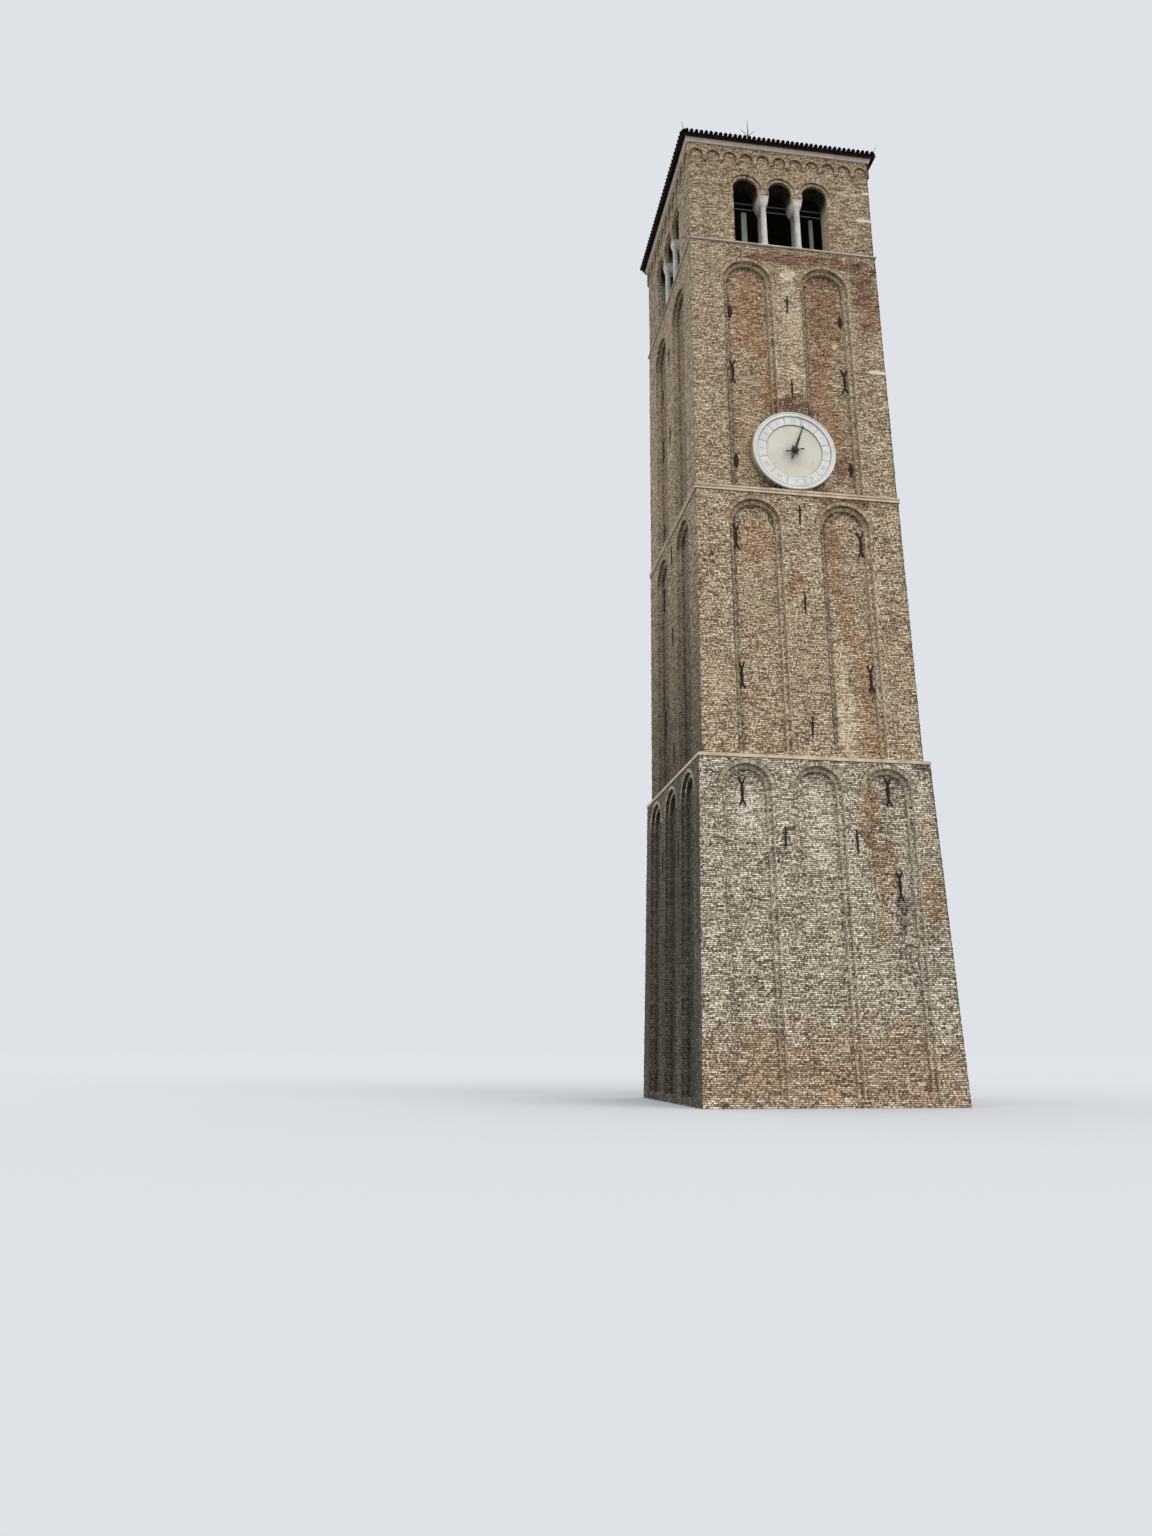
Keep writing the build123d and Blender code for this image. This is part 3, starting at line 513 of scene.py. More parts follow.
@dataclass(frozen=True)
class Brickwork:
    """Old brick walling: single bricks in their bond, open joints, patches and streaks, with painted shade inside the
    tower, in corners, under overhangs and on the left face.
    """

    level: Level
    body: tuple = BEIGE
    orange: float = 0.1
    recess_orange: float = 0.1
    red: float = 0.05
    light: float = 1.0
    contrast: float = 0.7
    lumps: float = 1.4
    inside: float = 2.8
    soffit_shade: float = 0.35
    open_joints: float = 0.9
    worn: float = 0.017
    patches: tuple[Patch, ...] = ()
    opening_shade: tuple = ()
    front_line: float = -2.9
    left_shade_heights: tuple = (24.0, 7.0)

    def share(self, g: Graph, tint: Tint, start: Number, across: Wire, height: Wire, front: Wire, ragged: Wire
              ) -> Number:
        """Adds up the patches of one tint.

        Args:
            g: the material's graph; not used.
            tint: the tint to add up.
            start: the share without any patch.
            across: distance along the wall.
            height: height above the ground.
            front: 1 on the front face.
            ragged: noise that wears the patches' edges.

        Returns:
            The share of bricks with that tint.
        """
        total = start
        for patch in self.patches:
            if patch.tint is tint:
                a = (across - patch.across) / patch.half_width
                b = (height - patch.height) / patch.half_height
                far = (a * a + b * b + ragged).ease(1.5, 0.1)
                total = far * front * patch.strength + total
        return total

    def edges(self, across: Wire, height: Wire) -> tuple[Number, Number]:
        """Finds the pale edges of the blind arches' orders, and the painted shade in the corners behind them.

        Args:
            across: distance along the wall.
            height: height above the ground.

        Returns:
            1 on a pale edge, and how dark the painted shade is in a corner or on the painted shadow line round the
            ring.
        """
        if not self.level.centres:
            return 0.0, 0.0
        aside, signed = abs(across - self.level.centres[0]), across - self.level.centres[0]
        for centre in self.level.centres[1:]:
            nearer = abs(across - centre) < aside
            signed = signed + (across - centre - signed) * nearer
            aside = abs(signed)
        rise = height - self.level.springing()
        above = rise.most(0.0)
        far = (aside * aside + above * above).through("SQRT")
        outer, inner = self.level.arch_half, self.level.arch_half - self.level.order
        left = (signed < 0.0) * (rise < 0.3)
        lit, wide = 0.045, 0.08 if self.level is BASE else 0.2
        pale = (far > outer) * (far < outer + lit) + (far > inner) * (far < inner + lit)
        # painted shade in the corners behind the orders' edges, heavier at the left jambs
        corners = [far.ease(reach - wide, reach - 0.03) * (far < reach) for reach in (outer, inner)]
        order_shade = (corners[0] + corners[1]) * (left * 0.48 + 0.05)
        # painted shadow: a thin dark line just outside the ring of bricks round each arch
        line = (far > outer + 0.13) * (far < outer + 0.17) * (rise > 0.0) * 0.5
        inside = height > self.level.recess_foot
        return pale * inside * (1.0 - left), order_shade * inside + line

    def under_corbels(self, across: Wire, height: Wire) -> Wire:
        """Returns 1 in the shade under the small arches of the corbel table.

        Args:
            across: distance from the middle.
            height: height above the ground.

        Returns:
            1 in the shade, else 0.
        """
        pitch, radius, springing = CORBELS.pitch, CORBELS.radius, CORBELS.springing
        off = across - (across / pitch + 0.5).floor() * pitch
        above = (height - springing).most(0.0)
        far = (off * off + above * above).through("SQRT")
        return far.ease(radius - 0.12, radius - 0.02) * (far < radius + 0.02) * (height > springing - 0.16)

    def material(self) -> Material:
        """Builds the walls' finish: rows, joints, tints, grime, painted shade, painted light and relief.

        Returns:
            The material of one stage's walls.
        """
        g = Graph(f"{self.level.name}_brickwork")
        spot = g.place()
        x, y, z = g.parts(spot)
        nx, ny, nz = g.facing()
        sideways = abs(nx) > abs(ny)
        flank = abs(x) > abs(y)
        reveal = abs(sideways - flank)
        across = x + (y - x) * sideways
        outward = abs(x).most(abs(y))
        front = (y < self.front_line) * (1.0 - flank)
        half = self.level.half_foot - self.level.slope() * (z - self.level.foot)
        recess = (half - outward).ease(0.15, 0.2)
        face = sideways * 2.0 + (x + y > 0.0)

        level = z
        for rate, size in BOND.waves:
            level = level + (across * rate).through("COSINE") * size
        row = (level / BOND.course).floor()
        rise = level - row * BOND.course
        run = across / BOND.unit() + row * 0.5 + (row * 2.4).through("SINE") * 0.12
        cell = run.floor()
        along = (run - cell) * BOND.unit()
        long_brick = along > BOND.header
        to_end = abs(along - BOND.header).least(along).least(BOND.unit() - along)
        ragged = g.noise(spot, 38.0, 2.0)
        decay = g.noise(g.vector(across, z, face * 2.7), 13.0, 2.0, 0.6).spread(0.38, 0.62, 0.15, 1.0)
        to_bed = rise.least(BOND.course - rise)
        edge = (to_end * 0.8).least(to_bed * 0.85) + (ragged - 0.5) * 0.009
        joint = (edge / (decay * self.worn)).ease(1.0, 0.35)
        tone, pick, other = g.draws(cell * 2.0 + long_brick, row, face)

        broad = g.noise(g.vector(across, z, face * 7.3), 0.42, 4.0, 0.6)
        medium = g.noise(g.vector(across, z, face * 3.1 + 9.0), 1.9, 3.0, 0.6)
        streaks = g.noise(g.vector(across * 2.6, z * 0.16, face * 5.7), 1.0, 4.0, 0.6)
        drift = (broad - 0.5) * 1.1 + (medium - 0.5) * 0.5
        lumps = g.noise(g.vector(across, z, face * 4.1 + outward), 15.0, 2.0, 0.6)
        wear = (medium - 0.5) * 3.2 + (lumps - 0.5) * 1.4
        orange = self.share(g, Tint.ORANGE, recess * self.recess_orange + self.orange, across, z, front, wear)
        orange = orange + drift * 0.5
        red = self.share(g, Tint.RED, self.red, across, z, front, wear) - drift * 0.3
        pale = self.share(g, Tint.PALE, 0.0, across, z, front, wear)
        dark = self.share(g, Tint.DARK, 0.0, across, z, front, wear)

        grade = (tone - 0.5) * self.contrast + (lumps - 0.5) * self.lumps + drift * 0.2 + 0.5
        pale_edge, order_shade = self.edges(across, z)
        plain = 1.0 - reveal
        grade = grade + plain * pale_edge * 0.15 + reveal * 0.2
        if isinstance(pale, Wire):
            grade = grade + pale * 0.4
        grade = grade.kept()
        speckle = (lumps - 0.5) * 0.9
        colour = g.mix((orange * 1.15 - pick * 0.55 - speckle + 0.08).kept(), g.ramp(grade, self.body),
                       g.ramp(grade, ORANGE))
        colour = g.mix((red * 1.15 - other * 0.55 + speckle + 0.05).kept(), colour, g.ramp(grade, RED))
        filled = g.ramp(medium, ((0.3, "352d25"), (0.62, "66594a"), (0.8, "a39480")))
        opened = joint * self.open_joints
        if isinstance(pale, Wire):
            opened = opened * (1.0 - pale.kept() * 0.6)
        colour = g.mix(opened, colour, filled)
        colour = g.mix(streaks.ease(0.5, 0.72) * 0.3, colour, g.scaled(colour, 0.72))
        colour = g.mix(broad.ease(0.5, 0.72) * 0.22, colour, paint("6d6a55"))
        # painted shade on the left face, strongest low down and broken into streaks
        left_shade = flank * (x < 0.0) * z.ease(*self.left_shade_heights) * streaks.spread(0.3, 0.7, 0.66, 1.0)
        colour = g.mix(left_shade * 0.94, colour, paint("28251d"))
        pit = (g.noise(spot, 9.0, 1.0) > 0.735) * (other > 0.4)
        shade = (1.0 - pit * 0.5) * streaks.spread(0.25, 0.75, 0.86, 1.1) * self.light
        if isinstance(dark, Wire):
            shade = shade * (1.0 - dark.kept() * 0.6)
        # painted shade: faces inside the tower that look sideways are darkened
        inside_shade = (outward < self.inside + 0.02) * (abs(nx).most(abs(ny)) > 0.5)
        # painted shade: faces that look down, such as arch undersides, are darkened
        under = nz.ease(-0.1, -0.6)
        shade = shade * (1.0 - inside_shade * 0.9) * (1.0 - under * self.soffit_shade) * (1.0 - plain * order_shade)
        # painted light: on the front, reveals that face left are lightened
        shade = shade * (1.0 + reveal * (1.0 - flank) * nx.ease(-0.5, -0.9) * 0.3)
        # painted shade: the recesses of the left face are darkened
        shade = shade * (1.0 - flank * (x < 0.0) * recess * 0.28)
        # painted shade: a broken dark band along the front's right corner
        corner = (across - half).ease(-0.07, -0.01) * front * streaks.spread(0.35, 0.6, 0.25, 0.75)
        shade = shade * (1.0 - corner)
        if self.level is BELFRY:
            shade = shade * (1.0 - self.under_corbels(across, z) * (outward < half + 0.03) * 0.42)
        # painted shade deep in the belfry openings, on faces that look down and above the springing
        if self.opening_shade:
            low, high = self.opening_shade
            shade = shade * (1.0 - (half - outward).ease(0.08, 0.2) * under.most(z.ease(low, high)) * 0.93)
        height = 1.0 - joint - pit * 0.8 + tone * 0.35 + ragged * 0.3
        g.bump(height, 0.012, 0.9)
        return g.done(g.scaled(colour, shade), 0.95, 0.2)


@dataclass(frozen=True)
class LooseBrick:
    """The bricks on edge in the rings of all arches. Each takes its shade as a whole."""

    name: str = "arch_brick"
    light: float = 0.95
    tones: tuple = ("57473a", "8d7861", "b09b7f", "cfc0a7")

    def material(self) -> Material:
        """Builds the finish.

        Returns:
            The material.
        """
        g = Graph(self.name)
        spot = g.place()
        grain = g.noise(spot, 45.0, 3.0)
        blotch = g.noise(spot, 15.0, 2.0)
        tone = g.own("shade") + (grain - 0.5) * 0.12 + (blotch - 0.5) * 0.8
        dark, dull, middle, pale = self.tones
        stops = ((0.0, dark), (0.25, dull), (0.5, middle), (0.68, pale), (0.74, "a9866a"), (0.86, "8a6550"),
                 (0.9, "6b4237"), (1.0, "4c2f29"))
        colour = g.scaled(g.ramp(tone.kept(), stops), blotch.spread(0.3, 0.7, 0.88, 1.08) * self.light)
        g.bump(grain + blotch * 0.5, 0.006, 0.8)
        return g.done(colour, 0.93, 0.2)


@dataclass(frozen=True)
class WeatheredStone:
    """Stone, marble, plaster or moulded brick with soft clouds, fine grain and stains, and painted shade where asked:
    on faces that look down, deeper in the tower, near its top and in one soft spot.
    """

    name: str
    light: str
    middle: str
    dark: str
    cloud: float = 1.4
    grain: float = 30.0
    streak: float = 0.3
    speckle: float = 0.0
    roughness: float = 0.75
    relief: float = 0.003
    joints: float = 0.0
    under: float = 0.0
    shadow_spot: tuple = ()
    behind: tuple = ()
    shaded_above: tuple = ()

    def material(self) -> Material:
        """Builds the finish.

        Returns:
            The material.
        """
        g = Graph(self.name)
        spot = g.place()
        x, y, z = g.parts(spot)
        clouds = g.noise(spot, self.cloud, 5.0, 0.6)
        fine = g.noise(spot, self.grain, 3.0, 0.6)
        runs = g.noise(g.vector(x * 6.0, y * 6.0, z * 0.7), 1.0, 4.0, 0.65)
        tone = clouds * 0.55 + fine * 0.45
        colour = g.ramp(tone, ((0.3, self.dark), (0.5, self.middle), (0.66, self.light)))
        shade = 1.0 - runs.ease(0.52, 0.78) * self.streak
        height = fine + clouds
        if self.speckle:
            specks = g.noise(spot, self.grain * 1.7, 2.0, 0.5).ease(0.6, 0.7)
            shade = shade * (1.0 - specks * self.speckle)
            height = height - specks
        nx, ny, nz = g.facing()
        # painted shade: faces that look down are darkened
        if self.under:
            shade = shade * (1.0 - nz.ease(-0.1, -0.5) * self.under)
        if self.shaded_above:
            shade = shade * (1.0 - z.ease(*self.shaded_above) * 0.8)
        # painted shade: parts nearer the tower's axis than a given line are darkened
        if self.behind:
            line, loss = self.behind
            shade = shade * (1.0 - abs(x).most(abs(y)).ease(line + 0.06, line - 0.06) * loss)
        # painted shadow: a soft dark spot, on the dial plaster below the hand's hub
        if self.shadow_spot:
            across, height, reach = self.shadow_spot
            a, b = x - across, z - height
            far = (a * a + b * b * 0.6).through("SQRT") + (clouds - 0.5) * 0.3
            shade = shade * (1.0 - far.ease(reach, 0.0) * 0.22)
        if self.joints:
            along = x + (y - x) * (abs(nx) > abs(ny))
            run = along / self.joints
            gap = abs((run - run.floor()) - 0.5)
            crack = gap.ease(0.485, 0.497)
            tone_of, _, _ = g.draws(run.floor(), 1.0, (x + y > 0.0) * 2.0 + (abs(nx) > abs(ny)))
            shade = shade * (1.0 - crack * 0.5) * tone_of.spread(0.0, 1.0, 0.86, 1.1)
            height = height - crack * 2.0
        g.bump(height, self.relief, 0.8)
        return g.done(g.scaled(colour, shade), self.roughness, 0.3)


@dataclass(frozen=True)
class RoofTile:
    """Old barrel tiles with lichen and dark blotches, each its own shade; their dark tones are partly painted shade,
    and faces that do not look up are darkened further by painted shade.
    """

    name: str = "barrel_tile"

    def material(self) -> Material:
        """Builds the finish.

        Returns:
            The material.
        """
        g = Graph(self.name)
        spot = g.place()
        clouds = g.noise(spot, 3.0, 5.0, 0.65)
        fine = g.noise(spot, 70.0, 3.0)
        tone = g.own("shade") * 0.6 + clouds * 0.5
        # dark tones: partly the tiles' own colour and partly painted shade
        colour = g.ramp(tone.kept(), ((0.15, "2a1f1b"), (0.45, "4a352c"), (0.7, "654838"), (0.95, "806450")))
        lichen = g.noise(spot, 14.0, 4.0, 0.7).ease(0.56, 0.68)
        colour = g.mix(lichen * 0.6, colour, paint("57524a"))
        colour = g.mix((g.noise(spot, 1.1, 3.0) + (clouds - 0.5)).ease(0.5, 0.75) * 0.6, colour, paint("1d1816"))
        _, _, nz = g.facing()
        # painted shade: faces that do not look up are darkened, nearly to black
        colour = g.scaled(colour, nz.spread(0.15, 0.6, 0.12, 1.0))
        g.bump(fine + clouds * 0.6, 0.004, 0.8)
        return g.done(colour, 0.92, 0.2)


@dataclass(frozen=True)
class Iron:
    """Wrought iron: painted, rusted or both."""

    name: str
    coat: str
    rust: str
    rust_share: float
    roughness: float = 0.6
    aside: float = 1.0

    def material(self) -> Material:
        """Builds the finish.

        Returns:
            The material.
        """
        g = Graph(self.name)
        spot = g.place()
        clouds = g.noise(spot, 9.0, 5.0, 0.65)
        fine = g.noise(spot, 120.0, 3.0)
        rusted = (clouds + (fine - 0.5) * 0.3).ease(0.62 - self.rust_share * 0.4, 0.72 - self.rust_share * 0.4)
        colour = g.mix(rusted, paint(self.coat), g.mix(fine, paint(self.rust), paint("3a2a22")))
        if self.aside < 1.0:
            _, y, _ = g.parts(spot)
            colour = g.scaled(colour, (y < -2.6).spread(0.0, 1.0, self.aside, 1.0))
        g.bump(fine * 0.6 + clouds, 0.004, 0.7)
        return g.done(colour, rusted * 0.3 + self.roughness, 0.35)


@dataclass(frozen=True)
class Boards:
    """Old floor boards, grey with age."""

    name: str = "belfry_boards"
    width: float = 0.21

    def material(self) -> Material:
        """Builds the finish.

        Returns:
            The material.
        """
        g = Graph(self.name)
        x, y, z = g.parts(g.place())
        run = x / self.width
        board = run.floor()
        gap = abs(run - board - 0.5).ease(0.47, 0.495)
        tone, _, _ = g.draws(board, 3.0, 5.0)
        grain = g.noise(g.vector(x * 22.0, y * 1.3 + tone * 30.0, z * 22.0), 1.0, 5.0, 0.65)
        colour = g.ramp(grain * 0.7 + tone * 0.3, ((0.25, "31281f"), (0.5, "574838"), (0.75, "786550")))
        g.bump(grain - gap * 2.0, 0.004, 0.8)
        return g.done(g.scaled(colour, 1.0 - gap * 0.8), 0.85, 0.25)


def make_object(name: str, mesh: Mesh, material: Material, smooth: bool = False) -> Object:
    """Puts a mesh in the scene.

    Args:
        name: the piece's name.
        mesh: its mesh, in place.
        material: its finish.
        smooth: whether curved faces are shaded smooth up to a sharp angle.

    Returns:
        The new object.
    """
    mesh.materials.clear()
    mesh.materials.append(material)
    made = bpy.data.objects.new(name, mesh)
    bpy.context.scene.collection.objects.link(made)
    if smooth:
        mesh.polygons.foreach_set("use_smooth", [True] * len(mesh.polygons))
        mesh.set_sharp_from_angle(angle=SMOOTH_UP_TO)
    return made


def rounded(angle: float, power: float) -> tuple[float, float]:
    """Returns the point at an angle on an outline that is a circle at power 1 and a square near 0."""
    c, s = math.cos(angle), math.sin(angle)
    return math.copysign(abs(c) ** power, c), math.copysign(abs(s) ** power, s)


class Shapes:
    """Solid forms added to one mesh: swept bars, turned rings and flat cut plates."""

    def __init__(self) -> None:
        """Starts an empty mesh."""
        self.bm = bmesh.new()

    def tube(self, rings: Sequence[Sequence[Vector]], closed: bool = False) -> None:
        """Joins rings of points to a closed skin.

        Args:
            rings: rings with the same number of points each.
            closed: whether the last ring joins the first, else both ends get a cap.
        """
        rows = [[self.bm.verts.new(p) for p in ring] for ring in rings]
        count = len(rows[0])
        pairs = list(zip(rows, rows[1:])) + ([(rows[-1], rows[0])] if closed else [])
        for low, high in pairs:
            for i in range(count):
                self.bm.faces.new((low[i], low[(i + 1) % count], high[(i + 1) % count], high[i]))
        if not closed:
            self.bm.faces.new(list(reversed(rows[0])))
            self.bm.faces.new(rows[-1])

    def bar(self, path: Sequence[Vector], sizes: Sequence[tuple[float, float]], facing: Vector, sides: int = 8,
            square: float = 0.45) -> None:
        """Sweeps a rounded bar along a path.

        Args:
            path: the points of its middle line.
            sizes: half width and half thickness at each point.
            facing: the direction its thickness is measured in.
            sides: points round it.
            square: 1 for an ellipse, and nearer to 0 for a square section.
        """
        rings = []
        for i, point in enumerate(path):
            ahead = (path[min(i + 1, len(path) - 1)] - path[max(i - 1, 0)]).normalized()
            aside = ahead.cross(facing).normalized()
            up = aside.cross(ahead).normalized()
            ring = []
            for k in range(sides):
                across, above = rounded(math.tau * (k + 0.5) / sides, square)
                ring.append(point + aside * sizes[i][0] * across + up * sizes[i][1] * above)
            rings.append(ring)
        self.tube(rings)

    def turned(self, profile: Sequence[tuple[float, float]], place: Matrix, steps: int = 48,
               closed: bool = True) -> None:
        """Turns a profile round an axis.

        Args:
            profile: radius and height of each point, a closed outline, or a line from pole to pole.
            place: matrix whose third axis is the axis turned about.
            steps: how many steps make the full turn.
            closed: whether the profile is a closed outline.
        """
        rows = []
        for i in range(steps):
            angle = math.tau * i / steps
            rows.append([self.bm.verts.new(place @ Vector((r * math.cos(angle), r * math.sin(angle), h)))
                         for r, h in profile])
        last = len(profile) if closed else len(profile) - 1
        for i in range(steps):
            low, high = rows[i], rows[(i + 1) % steps]
            for k in range(last):
                nxt = (k + 1) % len(profile)
                self.bm.faces.new((low[k], low[nxt], high[nxt], high[k]))

    def square_ring(self, profile: Sequence[tuple[float, float]]) -> None:
        """Runs a closed outline round the tower, mitred at its four corners.

        Args:
            profile: half width and height of each point of the outline.
        """
        self.tube([[Vector((sx * half, sy * half, height)) for half, height in profile]
                   for sx, sy in ((1, -1), (1, 1), (-1, 1), (-1, -1))], closed=True)

    def plate(self, outline: Sequence[tuple[float, float]], place: Matrix, back: float, front: float,
              bevel: float = 0.0) -> None:
        """Adds a flat plate with slanted front edges.

        Args:
            outline: its corners, in order.
            place: matrix whose third axis points out of its front.
            back: height of its back face.
            front: height of its front face.
            bevel: how far the front face is drawn in.
        """
        middle = Vector((sum(p[0] for p in outline), sum(p[1] for p in outline))) / len(outline)
        rings = [[place @ Vector((px, py, back)) for px, py in outline],
                 [place @ Vector((px, py, front - bevel)) for px, py in outline]]
        if bevel:
            inner = []
            for px, py in outline:
                inward = (middle - Vector((px, py))).normalized() * bevel
                inner.append(place @ Vector((px + inward.x, py + inward.y, front)))
            rings.append(inner)
        self.tube(rings)

    def piece(self, name: str, material: Material, smooth: bool = True) -> Object:
        """Closes the mesh, turns its faces outwards and puts it in the scene.

        Args:
            name: the piece's name.
            material: its finish.
            smooth: whether curved faces are shaded smooth.

        Returns:
            The new object.
        """
        bmesh.ops.remove_doubles(self.bm, verts=self.bm.verts, dist=MERGE_WITHIN)
        bmesh.ops.recalc_face_normals(self.bm, faces=self.bm.faces)
        mesh = bpy.data.meshes.new(name)
        self.bm.to_mesh(mesh)
        self.bm.free()
        return make_object(name, mesh, material, smooth)


@dataclass
class Stones:
    """The places, turns, sizes and shades of many stones of one pattern."""

    rows: list = field(default_factory=list)

    def lay(self, place: Matrix, size: Sequence[float], shade: float = 0.5) -> None:
        """Adds one stone."""
        self.rows.append((place.to_translation(), place.to_euler(), size, shade))


class StoneSetter(Nodes):
    """A geometry tree that sets one stone on each place, tilts and wears it a little, and gives it its finish."""

    SOCKETS = (("Places", "NodeSocketGeometry"), ("Pattern", "NodeSocketObject"),
               ("Finish", "NodeSocketMaterial"), ("Tilt", "NodeSocketFloat"), ("Wear", "NodeSocketFloat"),
               ("Lumps", "NodeSocketFloat"), ("Seed", "NodeSocketInt"))

    def __init__(self) -> None:
        """Builds the tree."""
        super().__init__(bpy.data.node_groups.new("stone_setter", "GeometryNodeTree"))
        face = self.tree.interface
        self.keys = {name: face.new_socket(name=name, in_out="INPUT", socket_type=kind).identifier
                     for name, kind in self.SOCKETS}
        face.new_socket(name="Stones", in_out="OUTPUT", socket_type="NodeSocketGeometry")
        given = self.node("NodeGroupInput").outputs
        named = {name: self.node("GeometryNodeInputNamedAttribute", {"Name": name},
                                 data_type="FLOAT_VECTOR").outputs[0] for name in ("turn", "size")}
        back = self.node("ShaderNodeMath", {0: given["Tilt"], 1: -1.0}, operation="MULTIPLY").outputs[0]
        tip = self.node("FunctionNodeRandomValue", {0: back, 1: given["Tilt"], "Seed": given["Seed"]},
                        data_type="FLOAT_VECTOR").outputs[0]
        turn = self.node("FunctionNodeEulerToRotation", {0: named["turn"]}).outputs[0]
        turned = self.node("FunctionNodeRotateRotation", {0: turn, 1: tip}, rotation_space="LOCAL").outputs[0]
        pattern = self.node("GeometryNodeObjectInfo", {"Object": given["Pattern"]}).outputs["Geometry"]
        placed = self.node("GeometryNodeInstanceOnPoints",
                           {"Points": given["Places"], "Instance": pattern, "Rotation": turned,
                            "Scale": named["size"]}).outputs[0]
        real = self.node("GeometryNodeRealizeInstances", {0: placed}).outputs[0]
        where = self.node("GeometryNodeInputPosition").outputs[0]
        lumps = self.node("ShaderNodeTexNoise", {"Vector": where, "Scale": given["Lumps"], "Detail": 1.0})
        even = self.node("ShaderNodeVectorMath", {0: lumps.outputs["Color"], 1: (0.5, 0.5, 0.5)},
                         operation="SUBTRACT").outputs[0]
        push = self.node("ShaderNodeVectorMath", {0: even, "Scale": given["Wear"]}, operation="SCALE").outputs[0]
        worn = self.node("GeometryNodeSetPosition", {"Geometry": real, "Offset": push}).outputs[0]
        dressed = self.node("GeometryNodeSetMaterial", {"Geometry": worn, "Material": given["Finish"]}).outputs[0]
        self.node("NodeGroupOutput", {0: dressed})

    def build(self, name: str, stones: Stones, pattern: Object, finish: Material,
              tilt: float, wear: float, seed: int, lumps: float = 9.0) -> Object:
        """Sets all stones of one piece.

        Args:
            name: the piece's name.
            stones: where they go.
            pattern: the object whose mesh is one stone of size 1.
            finish: their material.
            tilt: the most each is tipped, in radians.
            wear: how far its corners are pushed about, in metres.
            seed: seed of the random tilt.
            lumps: how fine the wear is.

        Returns:
            The piece, a plain mesh that rides on the tower.
        """
        mesh = bpy.data.meshes.new(f"{name}_places")
        mesh.from_pydata([tuple(row[0]) for row in stones.rows], [], [])
        for key, kind, column in (("turn", "FLOAT_VECTOR", 1), ("size", "FLOAT_VECTOR", 2), ("shade", "FLOAT", 3)):
            data = mesh.attributes.new(key, kind, "POINT").data
            values = [row[column] for row in stones.rows]
            if kind == "FLOAT":
                data.foreach_set("value", values)
            else:
                data.foreach_set("vector", [n for value in values for n in value])
        made = make_object(name, mesh, finish)
        modifier = made.modifiers.new("set", "NODES")
        modifier.node_group = self.tree
        for key, value in (("Pattern", pattern), ("Finish", finish), ("Tilt", tilt), ("Wear", wear),
                           ("Lumps", lumps), ("Seed", seed)):
            modifier[self.keys[key]] = value
        graph = bpy.context.evaluated_depsgraph_get()
        plain = bpy.data.meshes.new_from_object(made.evaluated_get(graph), preserve_all_data_layers=True,
                                                depsgraph=graph)
        made.modifiers.clear()
        made.data = plain
        for key in ("turn", "size"):
            if key in plain.attributes:
                plain.attributes.remove(plain.attributes[key])
        plain.name = name
        log.info("%s: %d stones, %d faces", name, len(stones.rows), len(plain.polygons))
        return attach(made, TOWER)


class Patterns:
    """The single stones and tiles that are set many times, each of size 1, removed once all is set."""

    def __init__(self) -> None:
        """Makes every pattern."""
        self.made: list[Object] = []
        self.blank = bpy.data.materials.new("pattern")
        self.brick = self.block("brick_pattern", 0.0)
        self.dressed = self.block("dressed_stone_pattern", 0.05)
        self.cover = self.barrel("cover_tile_pattern", 150.0, 1.0)
        self.pan = self.barrel("pan_tile_pattern", 110.0, -1.0)

    def keep(self, name: str, bm: bmesh.types.BMesh, smooth: bool) -> Object:
        """Turns a pattern's mesh into an object and remembers it.

        Args:
            name: the pattern's name.
            bm: its mesh.
            smooth: whether it is shaded smooth.

        Returns:
            The pattern.
        """
        bmesh.ops.recalc_face_normals(bm, faces=bm.faces)
        mesh = bpy.data.meshes.new(name)
        bm.to_mesh(mesh)
        bm.free()
        made = make_object(name, mesh, self.blank, smooth)
        self.made.append(made)
        return made

    def block(self, name: str, bevel: float) -> Object:
        """Makes a block one metre each way, with its edges cut off if bevel is above 0.

        Args:
            name: the pattern's name.
            bevel: how far its edges are cut back.

        Returns:
            The pattern.
        """
        bm = bmesh.new()
        bmesh.ops.create_cube(bm, size=1.0)
        if bevel:
            bmesh.ops.bevel(bm, geom=bm.edges[:], offset=bevel, segments=1, affect="EDGES", profile=0.5)
        return self.keep(name, bm, False)

    def barrel(self, name: str, span: float, way: float) -> Object:
        """Makes a tapering barrel tile, one metre long, and wide for its own arc.

        Args:
            name: the pattern's name.
            span: the arc it covers, in degrees.
            way: 1 with its back up, -1 with its hollow up.

        Returns:
            The pattern.
        """
        bm = bmesh.new()
        steps, thick = 6, 0.18
        rings = []
        for along, radius in ((0.0, 1.0), (1.0, 0.8)):
            ring = []
            for r, order in ((radius, range(steps + 1)), (radius - thick, range(steps, -1, -1))):
                for i in order:
                    angle = math.radians(span) * (i / steps - 0.5)
                    ring.append(bm.verts.new((r * math.sin(angle), along, way * r * math.cos(angle))))
            rings.append(ring)
        low, high = rings
        count = len(low)
        for i in range(count):
            bm.faces.new((low[i], low[(i + 1) % count], high[(i + 1) % count], high[i]))
        for ring in rings:
            for i in range(steps):
                bm.faces.new((ring[i], ring[i + 1], ring[count - 2 - i], ring[count - 1 - i]))
        return self.keep(name, bm, True)

    def clear(self) -> None:
        """Removes the patterns from the scene."""
        for made in self.made:
            bpy.data.objects.remove(made)


